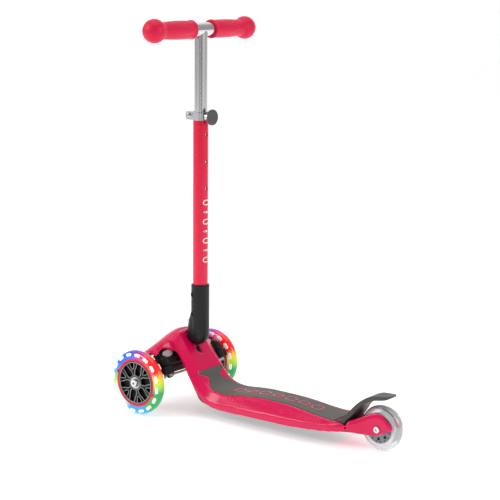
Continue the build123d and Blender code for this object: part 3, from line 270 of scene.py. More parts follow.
# %% Wheel polar group
polar_group, enters, leaves = new_group(
    "wheel_polar",
    [("Centre", "vector", (0, 0, 0))],
    [("Turn", "float"), ("Reach", "float")],
)
place = polar_group.nodes.new("ShaderNodeTexCoord")
offset = polar_group.nodes.new("ShaderNodeVectorMath")
offset.operation = "SUBTRACT"
polar_group.links.new(place.outputs["Object"], offset.inputs[0])
polar_group.links.new(enters.outputs["Centre"], offset.inputs[1])
parts = polar_group.nodes.new("ShaderNodeSeparateXYZ")
polar_group.links.new(offset.outputs["Vector"], parts.inputs["Vector"])
swing = maths(polar_group, "ARCTAN2", parts.outputs["Z"], parts.outputs["X"])
turn_share = maths(polar_group, "MULTIPLY_ADD", swing, 1 / (2 * pi), 0.5)
across_x = maths(polar_group, "MULTIPLY", parts.outputs["X"], parts.outputs["X"])
across_z = maths(polar_group, "MULTIPLY", parts.outputs["Z"], parts.outputs["Z"])
from_axle = maths(polar_group, "SQRT", maths(polar_group, "ADD", across_x, across_z))
polar_group.links.new(turn_share, leaves.inputs["Turn"])
polar_group.links.new(from_axle, leaves.inputs["Reach"])
print("groups", [group.name for group in bpy.data.node_groups])

# %% [markdown]
# ## Finishes
# One function makes a finish from what a maker would say of it: its colour, how
# dull it is, whether it is metal, whether it has a clear coat, and how coarse its
# grain is. The steady numbers go on the shader's own sockets, and only what
# changes over the surface comes through a node.

# %% The finish function
COAT_ROUGHNESS = 0.06
TONE_SCALE = 25.0
UNEVEN = 0.06                   # how far the roughness wanders over a surface
GRAIN_STRENGTH = 0.35


def place_group(tree, group, **values):
    """A group node in a material, with some of its inputs set."""
    node = tree.nodes.new("ShaderNodeGroup")
    node.node_tree = group
    for label, value in values.items():
        node.inputs[label].default_value = value
    return node


def finish(name, colour, roughness, metallic=0.0, coat=0.0, grain=900.0, depth=0.02, pits=0.4,
           shade=0.75, tone=0.45, shine=0.5, glow=0.0):
    """A material with a shifting tone, an uneven dullness and a fine grain."""
    material = bpy.data.materials.new(name)
    material.use_nodes = True
    tree = material.node_tree
    shader = tree.nodes["Principled BSDF"]
    shader.inputs["Metallic"].default_value = metallic
    shader.inputs["Coat Weight"].default_value = coat
    shader.inputs["Coat Roughness"].default_value = COAT_ROUGHNESS
    shader.inputs["Specular IOR Level"].default_value = shine
    # a glow makes a surface give off its own colour as light; on a part that is no lamp, that glow is
    # painted light
    shader.inputs["Emission Color"].default_value = (*colour, 1)
    shader.inputs["Emission Strength"].default_value = glow
    shift = place_group(tree, tone_group, Colour=(*colour, 1), Scale=TONE_SCALE, Amount=tone,
                        Shade=(*[part * shade for part in colour], 1))
    tree.links.new(shift.outputs["Colour"], shader.inputs["Base Color"])
    dullness = maths(tree, "MULTIPLY_ADD", shift.outputs["Mask"], UNEVEN, roughness - UNEVEN / 2)
    tree.links.new(dullness, shader.inputs["Roughness"])
    height = place_group(tree, grain_group, Scale=grain, Pits=pits)
    bump = tree.nodes.new("ShaderNodeBump")
    bump.inputs["Strength"].default_value = GRAIN_STRENGTH
    bump.inputs["Distance"].default_value = depth * MM
    tree.links.new(height.outputs["Height"], bump.inputs["Height"])
    tree.links.new(bump.outputs["Normal"], shader.inputs["Normal"])
    return material


print("finish function ready")

# %% Plain finishes
RED_SHELL = (0.8, 0.001, 0.09)
shell_gloss = finish("shell_gloss", RED_SHELL, 0.26, coat=0.25, grain=500, depth=0.012, shade=0.9,
                     tone=0.15, shine=0.3)
ring_gloss = finish("ring_gloss", (0.82, 0.003, 0.03), 0.3, coat=0.2, grain=700, shine=0.35)
tube_paint = finish("tube_paint", (0.82, 0.002, 0.05), 0.27, metallic=0.25, coat=0.35, grain=1500,
                    depth=0.008, shade=0.9, tone=0.12, shine=0.4)
pad_rubber = finish("pad_rubber", (0.125, 0.118, 0.108), 0.55, grain=1500, depth=0.06, pits=0.9, shine=0.3)
brake_plastic = finish("brake_plastic", (0.085, 0.081, 0.074), 0.45, grain=1100, depth=0.04, shine=0.3)
casing_black = finish("casing_black", (0.009, 0.009, 0.01), 0.45, grain=1200, depth=0.04, shine=0.2)
joint_black = finish("joint_black", (0.01, 0.01, 0.011), 0.34, grain=1300, depth=0.03, shine=0.3)
wheel_black = finish("wheel_black", (0.005, 0.005, 0.006), 0.42, grain=1100, depth=0.03, shine=0.2)
wheel_grey = finish("wheel_grey", (0.4, 0.4, 0.41), 0.34, metallic=0.5, grain=1500, depth=0.01)
core_grey = finish("core_grey", (0.24, 0.25, 0.27), 0.36, metallic=0.3, grain=1200, depth=0.02)
knob_grey = finish("knob_grey", (0.075, 0.075, 0.08), 0.45, grain=1300, depth=0.04)
grip_rubber = finish("grip_rubber", (0.78, 0.003, 0.06), 0.46, grain=1700, depth=0.05, pits=0.7,
                     tone=0.2, shine=0.35)
drawn_tube = finish("drawn_tube", (0.8, 0.8, 0.81), 0.2, metallic=1.0, grain=1800, depth=0.004, shade=0.92)
collar_alloy = finish("collar_alloy", (0.74, 0.74, 0.75), 0.26, metallic=1.0, grain=1500, depth=0.01)
bright_steel = finish("bright_steel", (0.72, 0.72, 0.72), 0.18, metallic=1.0, grain=1800, depth=0.006)
plate_alloy = finish("plate_alloy", (0.62, 0.62, 0.62), 0.36, metallic=0.35, grain=1500, depth=0.02)
zinc_strip = finish("zinc_strip", (0.62, 0.5, 0.26), 0.35, metallic=1.0, grain=1200, depth=0.02)
spring_wire = finish("spring_wire", (0.45, 0.45, 0.46), 0.3, metallic=1.0, grain=1500, depth=0.01)
bush_acetal = finish("bush_acetal", (0.7, 0.7, 0.67), 0.4, grain=1200, depth=0.02)
# the glow on this finish is painted light: the windows and light rings give off a little white light so
# that they stay bright where shade falls on them
light_white = finish("light_white", (0.95, 0.96, 0.98), 0.25, coat=0.3, grain=900, depth=0.01, shade=0.97,
                     glow=0.25)
print("materials", len(bpy.data.materials))

# %% [markdown]
# ## Lit tyres
# The front tyres are clear cast urethane over a ring of small coloured lamps, so
# the colour runs round the wheel like a rainbow and fades into milky white where
# a lamp is off. A colour ramp over the turn angle says this plainly. A little of
# the same colour is given off as light, and the rest shines like wet plastic.

# %% Lit urethane
URETHANE_ROUGHNESS, URETHANE_COAT, URETHANE_IOR = 0.12, 0.6, 1.49
CAST_SCALE, CAST_PITS, CAST_STRENGTH = 400, 0.3, 0.2
CAST_DEPTH = 0.02 * MM


def turn_ramp(tree, turn, stops):
    """A colour ramp over the turn round a wheel."""
    ramp = tree.nodes.new("ShaderNodeValToRGB")
    elements = ramp.color_ramp.elements
    while len(elements) > 1:
        elements.remove(elements[-1])
    elements[0].position = stops[0][0]
    elements[0].color = (*stops[0][1], 1)
    for position, colour in stops[1:]:
        elements.new(position).color = (*colour, 1)
    tree.links.new(turn, ramp.inputs["Fac"])
    return ramp.outputs["Color"]


def lit_urethane(name, centre, stops, glow, clear):
    """Clear urethane whose tint changes with the turn round the wheel."""
    material = bpy.data.materials.new(name)
    material.use_nodes = True
    tree = material.node_tree
    shader = tree.nodes["Principled BSDF"]
    shader.inputs["Roughness"].default_value = URETHANE_ROUGHNESS
    shader.inputs["Coat Weight"].default_value = URETHANE_COAT
    shader.inputs["IOR"].default_value = URETHANE_IOR
    shader.inputs["Transmission Weight"].default_value = clear
    shader.inputs["Emission Strength"].default_value = glow
    polar = place_group(tree, polar_group, Centre=centre)
    tint = turn_ramp(tree, polar.outputs["Turn"], stops)
    tree.links.new(tint, shader.inputs["Base Color"])
    tree.links.new(tint, shader.inputs["Emission Color"])
    height = place_group(tree, grain_group, Scale=CAST_SCALE, Pits=CAST_PITS)
    bump = tree.nodes.new("ShaderNodeBump")
    bump.inputs["Strength"].default_value = CAST_STRENGTH
    bump.inputs["Distance"].default_value = CAST_DEPTH
    tree.links.new(height.outputs["Height"], bump.inputs["Height"])
    tree.links.new(bump.outputs["Normal"], shader.inputs["Normal"])
    return material


print("urethane function ready")

# %% Tyre colours
BLUE, SKY = (0.0, 0.12, 0.75), (0.0, 0.35, 0.9)
GREEN, LIME, YELLOW = (0.0, 0.38, 0.08), (0.35, 0.75, 0.05), (0.9, 0.8, 0.05)
RED, MAGENTA, MILK = (0.9, 0.02, 0.02), (0.5, 0.02, 0.35), (0.7, 0.78, 0.76)
# turn 0 is behind the axle, a quarter is below it, a half ahead, three quarters above
RAINBOW = [(0.0, LIME), (0.03, GREEN), (0.15, GREEN), (0.19, SKY), (0.29, SKY), (0.34, MILK),
           (0.46, MILK), (0.5, LIME), (0.56, SKY), (0.62, BLUE), (0.72, BLUE), (0.77, MAGENTA),
           (0.83, RED), (0.92, RED), (0.96, YELLOW), (1.0, LIME)]


def wheel_centre(node):
    """The middle of a wheel, from its tyre's box."""
    low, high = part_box(node)
    return (low + high) / 2


CLEAR = (0.93, 0.95, 0.97)
tyre_left = lit_urethane("tyre_left", wheel_centre("wheel_left_tyre"), RAINBOW, 0.25, 0.15)
tyre_right = lit_urethane("tyre_right", wheel_centre("wheel_right_tyre"), RAINBOW, 0.25, 0.15)
tyre_rear = lit_urethane("tyre_rear", wheel_centre("rear_tyre"), [(0.0, CLEAR), (1.0, CLEAR)], 0.0, 0.55)
print("tyre finishes ready")

# %% [markdown]
# ## Rounded mouldings
# A CAD solid has crisp edges, but a moulded part never does: its mould rounds every
# edge by a millimetre or two. Remeshing a copy of the solid into small even squares
# and then relaxing them rounds all edges at once and keeps the size. The copy
# replaces the CAD node, and rides on the same body.


def moulded(node, voxel, passes, material):
    """A copy of a CAD node with every edge rounded, in its place."""
    piece = bpy.data.objects.new(f"{node}_moulding", nodes[node].data.copy())
    bpy.context.scene.collection.objects.link(piece)
    remesh = piece.modifiers.new("even_squares", "REMESH")
    remesh.mode = "VOXEL"
    remesh.voxel_size = voxel * MM
    relax = piece.modifiers.new("relax", "SMOOTH")
    relax.factor = 0.5
    relax.iterations = passes
    graph = bpy.context.evaluated_depsgraph_get()
    shaped = bpy.data.meshes.new_from_object(piece.evaluated_get(graph))
    piece.modifiers.clear()
    piece.data = shaped
    piece.data.name = piece.name
    piece.data.materials.clear()
    piece.data.materials.append(material)
    piece.data.polygons.foreach_set("use_smooth", [True] * len(piece.data.polygons))
    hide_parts(node)
    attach(piece, body_of[node])
    print(f"{piece.name}: {len(piece.data.vertices)} points")
    return piece


# %% [markdown]
# ## The shell
# The red shell is one blown-smooth body from tail fork to nose. It has fine cross
# ribs on its shoulders beside the foot pad, for stiffness and grip. They are real
# relief here: each point on a shoulder moves in or out along its own normal.

# %% Deck shell
shell = moulded("deck_shell", 1.7, 9, shell_gloss)

RIB_BACK, RIB_FRONT = -0.150, 0.078
RIB_PITCH, RIB_DEPTH, RIB_FADE = 0.0056, 0.0008, 0.02
RIB_INNER, RIB_OUTER, RIB_SIDE_FADE = 0.0365, 0.0490, 0.0035
SHOULDER_INNER, SHOULDER_OUTER, SHOULDER_LOW = 0.033, 0.0515, 0.03
FACES_UP = 0.25                 # least upward part of the normal on a shoulder


def fade(value, low, high, width):
    """1 well inside the range, falling to 0 at its ends over the width."""
    inside = min(value - low, high - value) / width
    return max(0.0, min(1.0, inside))


ribbed = 0
for point in shell.data.vertices:
    x, y, z = point.co
    on_shoulder = SHOULDER_INNER < abs(y) < SHOULDER_OUTER and z > SHOULDER_LOW
    if RIB_BACK < x < RIB_FRONT and on_shoulder and point.normal.z > FACES_UP:
        along = fade(x, RIB_BACK, RIB_FRONT, RIB_FADE)
        across = fade(abs(y), RIB_INNER, RIB_OUTER, RIB_SIDE_FADE)
        point.co += point.normal * RIB_DEPTH * along * across * sin(2 * pi * x / RIB_PITCH)
        ribbed += 1
print("rib points", ribbed)

# %% [markdown]
# ## Pad, casing and black parts
# The pad is soft grey rubber and the hidden mechanism is satin black plastic. They
# get the same rounding with smaller squares where the part is thin.

# %% Foot pad and casings
pad = moulded("deck_pad", 1.0, 3, pad_rubber)
moulded("under_cover", 1.8, 3, casing_black)
moulded("truck_housing", 1.5, 4, casing_black)
moulded("brake", 1.0, 8, brake_plastic)
moulded("fold_knuckle", 0.8, 9, joint_black)
for side in ("left", "right"):
    moulded(f"knuckle_{side}", 0.8, 4, casing_black)

# %% [markdown]
# ## Seat the pad
# The pad lies in a shallow recess in the shell. Rounding both pieces can leave some
# of the shell level with the pad or above it, and that would show as red specks in
# the grey. A ray dropped from above each point of the shell finds the pad's top
# there, and the shell is pressed down wherever it comes too near.

# %% Seat the pad
PAD_SEAT = 1.5 * MM             # how far below the pad's top the shell has to stay
PAD_LOW = 0.035                 # no part of the pad's top is lower than this
RAY_ABOVE, RAY_LENGTH = 5 * MM, 9 * MM
DOWN = Vector((0, 0, -1))
pad_tree = BVHTree.FromObject(pad, bpy.context.evaluated_depsgraph_get())
seated = 0
for point in shell.data.vertices:
    if point.co.z > PAD_LOW:
        hit = pad_tree.ray_cast(point.co + Vector((0, 0, RAY_ABOVE)), DOWN, RAY_LENGTH)[0]
        if hit and point.co.z > hit.z - PAD_SEAT:
            point.co.z = hit.z - PAD_SEAT
            seated += 1
print("seated points", seated)

# %% [markdown]
# ## Finishes on the carried-over nodes
# Turned and drawn metal parts are already the right shape, so they keep their CAD
# mesh and only take a finish.

# %% Dress the CAD nodes
def dress(material, *names):
    """Give CAD nodes a finish, and leave their meshes alone."""
    for name in names:
        mesh = nodes[name].data
        mesh.materials.clear()
        mesh.materials.append(material)


dress(tube_paint, "outer_tube")
dress(drawn_tube, "inner_tube", "crossbar")
dress(collar_alloy, "clamp_collar", "fold_bracket")
dress(knob_grey, "lock_knob")
dress(joint_black, "fold_latch", "pin_cap")
dress(casing_black, "steering_lock_button", "kingpin_bolts")
dress(plate_alloy, "trim_plates", "wheel_left_spacer", "wheel_right_spacer", "rear_spacer")
dress(zinc_strip, "tie_rod")
dress(bright_steel, "kingpin_nuts", "axle_bolt_left", "axle_bolt_right", "rear_axle_bolt",
      "rear_axle_nut", "fold_pin", "brake_pin", "cover_screws", "pinch_bolt", "pinch_nut", "snap_button",
      "wheel_left_bearings", "wheel_right_bearings", "rear_bearings")
dress(joint_black, "sleeve_bolts")
dress(spring_wire, "centring_springs", "brake_spring", "fold_latch_spring", "snap_spring",
      "lock_button_spring")
dress(bush_acetal, "kingpin_bush_left", "kingpin_bush_right", "guide_bush")
dress(light_white, "wheel_left_light_ring", "wheel_right_light_ring")
dress(ring_gloss, "wheel_left_rim_ring", "wheel_right_rim_ring")
dress(wheel_black, "wheel_left_core", "wheel_right_core")
dress(tyre_left, "wheel_left_tyre")
dress(tyre_right, "wheel_right_tyre")
dress(tyre_rear, "rear_tyre")
dress(core_grey, "rear_core")
print("finish on the outer tube:", nodes["outer_tube"].data.materials[0].name)

# %% [markdown]
# ## Front wheel spokes
# Each front wheel has bright outlines along its forked spokes and a grey ring inside
# the red one. The outlines are round bars that follow a drawn path, so they are
# curves with a bevel turned into meshes. Cutting them into the wheel's core would
# need a far finer mesh for the same look.

# %% Bars along a path
def bar(name, path, radius, material, closed=False):
    """A round bar along a smooth path, as a mesh."""
    curve = bpy.data.curves.new(name, "CURVE")
    curve.dimensions = "3D"
    spline = curve.splines.new("NURBS")
    spline.points.add(len(path) - 1)
    for point, place in zip(spline.points, path):
        point.co = (*place, 1)
    spline.order_u = 3
    spline.use_endpoint_u = not closed
    spline.use_cyclic_u = closed
    spline.resolution_u = 6
    curve.bevel_depth = radius
    curve.bevel_resolution = 2
    curve.use_fill_caps = True
    holder = bpy.data.objects.new(name, curve)
    bpy.context.scene.collection.objects.link(holder)
    mesh = bpy.data.meshes.new_from_object(holder.evaluated_get(bpy.context.evaluated_depsgraph_get()))
    bpy.data.objects.remove(holder)
    mesh.materials.clear()
    mesh.materials.append(material)
    mesh.polygons.foreach_set("use_smooth", [True] * len(mesh.polygons))
    made = bpy.data.objects.new(name, mesh)
    bpy.context.scene.collection.objects.link(made)
    return made


def join(name, pieces):
    """Several mesh objects as one."""
    merged = bmesh.new()
    for piece in pieces:
        merged.from_mesh(piece.data)
    materials = list(pieces[0].data.materials)
    for piece in pieces:
        bpy.data.objects.remove(piece)
    mesh = bpy.data.meshes.new(name)
    merged.to_mesh(mesh)
    merged.free()
    for material in materials:
        mesh.materials.append(material)
    made = bpy.data.objects.new(name, mesh)
    bpy.context.scene.collection.objects.link(made)
    return made


def on_wheel(centre, side_y, reach, turn_degrees):
    """A point at a distance and turn round a wheel, at a given y."""
    angle = radians(turn_degrees)
    return Vector((centre.x + reach * cos(angle), side_y, centre.z + reach * sin(angle)))


print("bar helpers ready")

# %% Spoke outlines and grey rings
SPOKES = 6
SPOKE_TURN = 15.0
SPOKE_INSET, RING_PROUD = 1.9 * MM, 1.0 * MM
PRONG_BAR, SLOT_BAR = 0.75 * MM, 0.65 * MM
HUB_REACH, FORK_REACH, RIM_REACH = 14.5 * MM, 22.0 * MM, 38.2 * MM
# both paths are distances from the axle, and degrees away from the spoke's middle
PRONG = ((HUB_REACH, 9), (FORK_REACH * 0.92, 7), (FORK_REACH * 1.15, 13), (FORK_REACH * 1.45, 19),
         (RIM_REACH, 21))
# the slot between the prongs, a narrow round-ended loop
SLOT = ((RIM_REACH, -9), (FORK_REACH * 1.3, -7), (FORK_REACH * 1.12, 0), (FORK_REACH * 1.3, 7),
        (RIM_REACH, 9))
# distance from the axle and bar radius of the rings
RINGS = ((RIM_REACH + 0.7 * MM, 0.9 * MM), (HUB_REACH - 0.8 * MM, 0.8 * MM), (10.8 * MM, 1.5 * MM))

for side, sign in (("left", 1), ("right", -1)):
    centre = wheel_centre(f"wheel_{side}_tyre")
    low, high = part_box(f"wheel_{side}_core")
    for face in (1, -1):
        label = f"wheel_{side}_{'outer' if face == 1 else 'inner'}"
        core_face = high.y if sign * face > 0 else low.y
        spoke_y = core_face - sign * face * SPOKE_INSET
        ring_y = spoke_y + sign * face * RING_PROUD
        lines = []
        for spoke in range(SPOKES):
            turn = 360 / SPOKES * spoke + SPOKE_TURN
            for lean in (-1, 1):
                path = [on_wheel(centre, spoke_y, reach, turn + lean * off) for reach, off in PRONG]
                lines.append(bar("line", path, PRONG_BAR, wheel_grey))
            loop = [on_wheel(centre, spoke_y, reach, turn + off) for reach, off in SLOT]
            lines.append(bar("line", loop, SLOT_BAR, wheel_grey))
        for ring_reach, thick in RINGS:
            circle = [on_wheel(centre, ring_y, ring_reach, 10 * step) for step in range(36)]
            lines.append(bar("ring", circle, thick, wheel_grey, closed=True))
        outlines = join(f"{label}_spoke_lines", lines)
        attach(outlines, f"wheel_{side}")
    print(side, "wheel outlines done")

# %% [markdown]
# ## Windows and ring tabs
# Pale windows in the front tyres let the lamps show through, and the red ring has
# two small tabs on each face. Both are flat-topped lozenges bent round the axle. A
# grid of points whose width shrinks to nothing at both ends gives that outline.

# %% Lozenge
LOZENGE_STRAIGHT, LOZENGE_ROUND = 0.55, 0.45        # shares of its half length
LOZENGE_POINT = 0.02 * MM                           # least half width, at the ends


def lozenge(name, centre, face_y, outward, reach, turn, half_angle, half_width, depth, material):
    """A flat-topped pad with round ends, bent round a wheel's axle."""
    rows, cols = 5, 15
    grid = []
    for col in range(cols):
        share = 2 * col / (cols - 1) - 1
        past = max(0.0, (abs(share) - LOZENGE_STRAIGHT) / LOZENGE_ROUND)
        width = half_width * sqrt(max(0.0, 1 - past ** 2))
        line = []
        for row in range(rows):
            spot = 2 * row / (rows - 1) - 1
            line.append((reach + spot * max(width, LOZENGE_POINT), turn + share * half_angle))
        grid.append(line)
    points, faces = [], []
    for face_side in (0, 1):
        lift = outward * depth * (face_side - 0.5)
        for line in grid:
            for at_reach, at_turn in line:
                points.append(on_wheel(centre, face_y + lift, at_reach, at_turn))
    count = rows * cols
    for col in range(cols - 1):
        for row in range(rows - 1):
            here = col * rows + row
            quad = (here, here + 1, here + rows + 1, here + rows)
            faces.append(quad[::-1])
            faces.append(tuple(count + index for index in quad))
    rim = ([row for row in range(rows)] + [col * rows + rows - 1 for col in range(1, cols)]
           + [(cols - 1) * rows + row for row in range(rows - 2, -1, -1)]
           + [col * rows for col in range(cols - 2, 0, -1)])
    for here, after in zip(rim, rim[1:] + rim[:1]):
        faces.append((here, after, count + after, count + here))
    made = mesh_object(name, points, faces, smooth=False)
    made.data.materials.append(material)
    return made


def tyre_face(reach):
    """How far the tyre's side stands from its middle plane at a distance from the axle."""
    outer, shoulder, half = 60.5 * MM, 52.0 * MM, 10.5 * MM
    if reach <= shoulder:
        return half
    return half * sqrt(max(0.0, 1 - ((reach - shoulder) / (outer - shoulder)) ** 2))


print("lozenge helpers ready")

# %% Windows and tabs
WINDOWS = 16
WINDOW_TURN, WINDOW_HALF_TURN = 6, 7.0
WINDOW_REACH, WINDOW_SEAT_REACH = 53.6 * MM, 54.2 * MM
WINDOW_HALF_WIDTH, WINDOW_DEPTH, WINDOW_INSET = 2.7 * MM, 2.2 * MM, 0.35 * MM
TAB_TURNS, TAB_HALF_TURN = (20, 200), 4.2
TAB_REACH, TAB_OUT = 46.4 * MM, 9.4 * MM
TAB_HALF_WIDTH, TAB_DEPTH = 1.5 * MM, 2.6 * MM

for side in ("left", "right"):
    centre = wheel_centre(f"wheel_{side}_tyre")
    pads = []
    for face in (1, -1):
        for window in range(WINDOWS):
            turn = 360 / WINDOWS * window + WINDOW_TURN
            face_y = centre.y + face * (tyre_face(WINDOW_SEAT_REACH) - WINDOW_INSET)
            pads.append(lozenge("window", centre, face_y, face, WINDOW_REACH, turn, WINDOW_HALF_TURN,
                                WINDOW_HALF_WIDTH, WINDOW_DEPTH, light_white))
    windows = join(f"wheel_{side}_windows", pads)
    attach(windows, f"wheel_{side}")
    tabs = []
    for face in (1, -1):
        for turn in TAB_TURNS:
            tabs.append(lozenge("tab", centre, centre.y + face * TAB_OUT, face, TAB_REACH, turn,
                                TAB_HALF_TURN, TAB_HALF_WIDTH, TAB_DEPTH, ring_gloss))
    ring_tabs = join(f"wheel_{side}_ring_tabs", tabs)
    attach(ring_tabs, f"wheel_{side}")
print("windows per wheel face", WINDOWS)

# %% [markdown]
# ## Rear wheel
# The rear wheel is clear all through, with thin arcs of red and dark blue inside the
# urethane over the upper part of the wheel only. An arc that is its own thin hoop
# keeps the glassy tyre plain and lets the colour float inside it.

# %% Band in the rear tyre
BAND_OUT, BAND_REACH = 7.0 * MM, 37.0 * MM
BAND_HALF_WIDTH, BAND_THICK = 1.9 * MM, 0.5 * MM


def band(name, centre, reach, half_y, thick, material, start, swept):
    """Part of a flat hoop round a wheel's axle."""
    steps = 72
    section = ((reach, -half_y), (reach, half_y), (reach + thick, half_y), (reach + thick, -half_y))
    points, faces = [], []
    for step in range(steps + 1):
        turn = start + swept * step / steps
        for at_reach, at_y in section:
            points.append(on_wheel(centre, centre.y + at_y, at_reach, turn))
    for step in range(steps):
        for corner in range(4):
            here = 4 * step + corner
            beside = 4 * step + (corner + 1) % 4
            faces.append((here, beside, beside + 4, here + 4))
    faces.append((3, 2, 1, 0))
    end = 4 * steps
    faces.append((end, end + 1, end + 2, end + 3))
    made = mesh_object(name, points, faces)
    made.data.materials.append(material)
    return made


navy_band = finish("navy_band", (0.02, 0.03, 0.1), 0.3, coat=0.3)
rear_centre = wheel_centre("rear_tyre")
for label, start, swept, paint in (("red", 10, 78, ring_gloss), ("navy", 96, 40, navy_band),
                                   ("red_back", 140, 26, ring_gloss)):
    for face in (1, -1):
        hoop_centre = rear_centre + Vector((0, face * BAND_OUT, 0))
        edge = "left" if face == 1 else "right"
        hoop = band(f"rear_band_{label}_{edge}", hoop_centre, BAND_REACH, BAND_HALF_WIDTH, BAND_THICK,
                    paint, start, swept)
        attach(hoop, "rear_wheel")
print("rear band ready")

# %% [markdown]
# ## Grips
# The grips are soft red rubber: a collar at the inner end, a barrel with a long
# almond panel front and back, a waist, and a round end ball that guards the hand.
# They are turned forms, so one outline is carried round the bar, and the panel and
# the fine end texture are relief added to the radius.

# %% Grip outline
GRIP_LINE = (
    (27.0, 16.6), (27.7, 17.3), (29.5, 17.4), (30.8, 16.9), (31.6, 16.2), (34.0, 16.1), (42.0, 16.5),
    (55.0, 16.8), (70.0, 16.8), (85.0, 16.4), (98.0, 15.6), (106.0, 15.1), (110.0, 15.2), (113.5, 16.2),
    (116.5, 18.2),
)
BALL_Y, BALL_R, BALL_ROWS = 128.0, 21.3, 40
BAR_R, BAR_END = 12.5, 124.5
ROW_PITCH = 1.2
AROUND = 160
BORE_ROWS = 3                   # the first rows are the bore's, and take no relief
ALMOND_Y, ALMOND_HALF, ALMOND_TURN = 66.0, 31.0, 0.62
ALMOND_LIFT, ALMOND_EDGE = 1.3, 0.18
ALMOND_FULL, ALMOND_BORDER = 0.62, 0.35   # share of its width at full height, height of the rest


def almond(y, angle):
    """Relief of the long panel on the barrel, front and back."""
    along = (y - ALMOND_Y) / ALMOND_HALF
    if abs(along) >= 1:
        return 0.0
    half_turn = ALMOND_TURN * (1 - along * along)
    lift = 0.0
    for middle in (0.0, pi):
        off = abs((angle - middle + pi) % (2 * pi) - pi) / half_turn
        if off < 1:
            edge = min(1.0, (1 - off) / ALMOND_EDGE)
            inner = 1.0 if off < ALMOND_FULL else ALMOND_BORDER
            lift = max(lift, edge * inner * ALMOND_LIFT)
    return lift


def grip_rows():
    """Rows along the grip as y and radius, close together where it curves."""
    rows = [(BAR_END, 0.0), (BAR_END, BAR_R), (GRIP_LINE[0][0], BAR_R)]
    for (y0, r0), (y1, r1) in zip(GRIP_LINE, GRIP_LINE[1:]):
        steps = max(1, ceil(abs(y1 - y0) / ROW_PITCH))
        rows += [(y0 + (y1 - y0) * step / steps, r0 + (r1 - r0) * step / steps) for step in range(steps)]
    rows.append(GRIP_LINE[-1])
    start = asin((GRIP_LINE[-1][0] - BALL_Y) / BALL_R)
    for step in range(1, BALL_ROWS + 1):
        swing = start + (pi / 2 - start) * step / BALL_ROWS
        rows.append((BALL_Y + BALL_R * sin(swing), BALL_R * cos(swing)))
    return rows


print("rows along a grip", len(grip_rows()))

# %% Build both grips
ALMOND_STOP = 110               # the panel's relief ends before the waist
TEXTURE_FROM = 16.5             # the end texture starts this far out from the ball's middle
TEXTURE_INNER, TEXTURE_OUTER = 2.0, 11.0
TEXTURE_DEPTH, TEXTURE_STEPS, TEXTURE_WAVE = 0.35, 5, 3.2
SAME_POINT = 0.00002
bar_low, bar_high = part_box("crossbar")
bar_centre = (bar_low + bar_high) / 2
for side, sign in (("left", 1), ("right", -1)):
    rows = grip_rows()
    points, faces = [], []
    for index, (y, reach) in enumerate(rows):
        for step in range(AROUND):
            angle = 2 * pi * step / AROUND
            outside = index >= BORE_ROWS
            lift = almond(y, angle) if outside and y < ALMOND_STOP else 0.0
            if outside and y > BALL_Y + TEXTURE_FROM and TEXTURE_INNER < reach < TEXTURE_OUTER:
                weave = sin(step * 2 * pi / TEXTURE_STEPS) * sin(reach * TEXTURE_WAVE)
                lift = -TEXTURE_DEPTH * (0.5 + 0.5 * weave)
            spread = (reach + lift) * MM
            points.append((bar_centre.x + spread * cos(angle), sign * y * MM,
                           bar_centre.z + spread * sin(angle)))
    for row in range(len(rows) - 1):
        for step in range(AROUND):
            after = (step + 1) % AROUND
            here, beyond = row * AROUND, (row + 1) * AROUND
            quad = (here + step, here + after, beyond + after, beyond + step)
            faces.append(quad if sign > 0 else quad[::-1])
    grip = mesh_object(f"grip_{side}_rubber", points, faces)
    shape = bmesh.new()
    shape.from_mesh(grip.data)
    bmesh.ops.remove_doubles(shape, verts=shape.verts, dist=SAME_POINT)
    bmesh.ops.recalc_face_normals(shape, faces=shape.faces)
    shape.to_mesh(grip.data)
    shape.free()
    grip.data.materials.append(grip_rubber)
    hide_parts(f"grip_{side}")
    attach(grip, "handlebar")
    print(grip.name, len(grip.data.vertices))

# %% [markdown]
# ## Plain marks on the post
# Printed marks give the tube and the pad some of their look. These are plain shapes
# with no meaning: here, a column of white rings and dashes on the tube. They are
# thin solids that follow the tube's round surface, so they have an edge to catch
# the light and need no picture file.

# %% Marks on the post
tube_low, tube_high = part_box("outer_tube")
post_x = (tube_low.x + tube_high.x) / 2
post_r = (tube_high.x - tube_low.x) / 2
MARK_FACING = radians(180)      # turn round the post from straight ahead, so these face back
MARK_COUNT, MARK_PITCH = 7, 18.0 * MM
MARK_TOP = 0.394
MARK_LIFT = 0.18 * MM
MARK_POWER = 2.4
MARK_STEPS = 40
RING_HALVES, RING_LINE = (8.0 * MM, 5.4 * MM), 1.9 * MM
DASH_HALVES, DASH_HOLE = (7.2 * MM, 1.8 * MM), (0.3 * MM, 0.1 * MM)


def on_post(side_step, height, lift):
    """A point on the post, so far round from the marks' middle line and at a height."""
    angle = MARK_FACING + side_step / post_r
    reach = post_r + lift
    return Vector((post_x + reach * cos(angle), reach * sin(angle), height))


def outline(name, count, inner, outer, place, thickness, material):
    """A flat band between two closed lines, given as functions of a turn, with some thickness."""
    points, faces = [], []
    for step in range(count):
        turn = 2 * pi * step / count
        for line, lift in ((inner, 0), (outer, 0), (outer, thickness), (inner, thickness)):
            points.append(place(*line(turn), lift))
    for step in range(count):
        after = (step + 1) % count
        for corner in range(4):
            beside = (corner + 1) % 4
            faces.append((4 * step + corner, 4 * step + beside, 4 * after + beside, 4 * after + corner))
    made = mesh_object(name, points, faces, smooth=False)
    made.data.materials.append(material)
    return made


def oval(half_a, half_b, power, centre):
    """A closed rounded outline: power 2 is an ellipse, and more is squarer."""
    def line(turn):
        a, b = cos(turn), sin(turn)
        return (centre[0] + half_a * (abs(a) ** (2 / power)) * (1 if a >= 0 else -1),
                centre[1] + half_b * (abs(b) ** (2 / power)) * (1 if b >= 0 else -1))
    return line


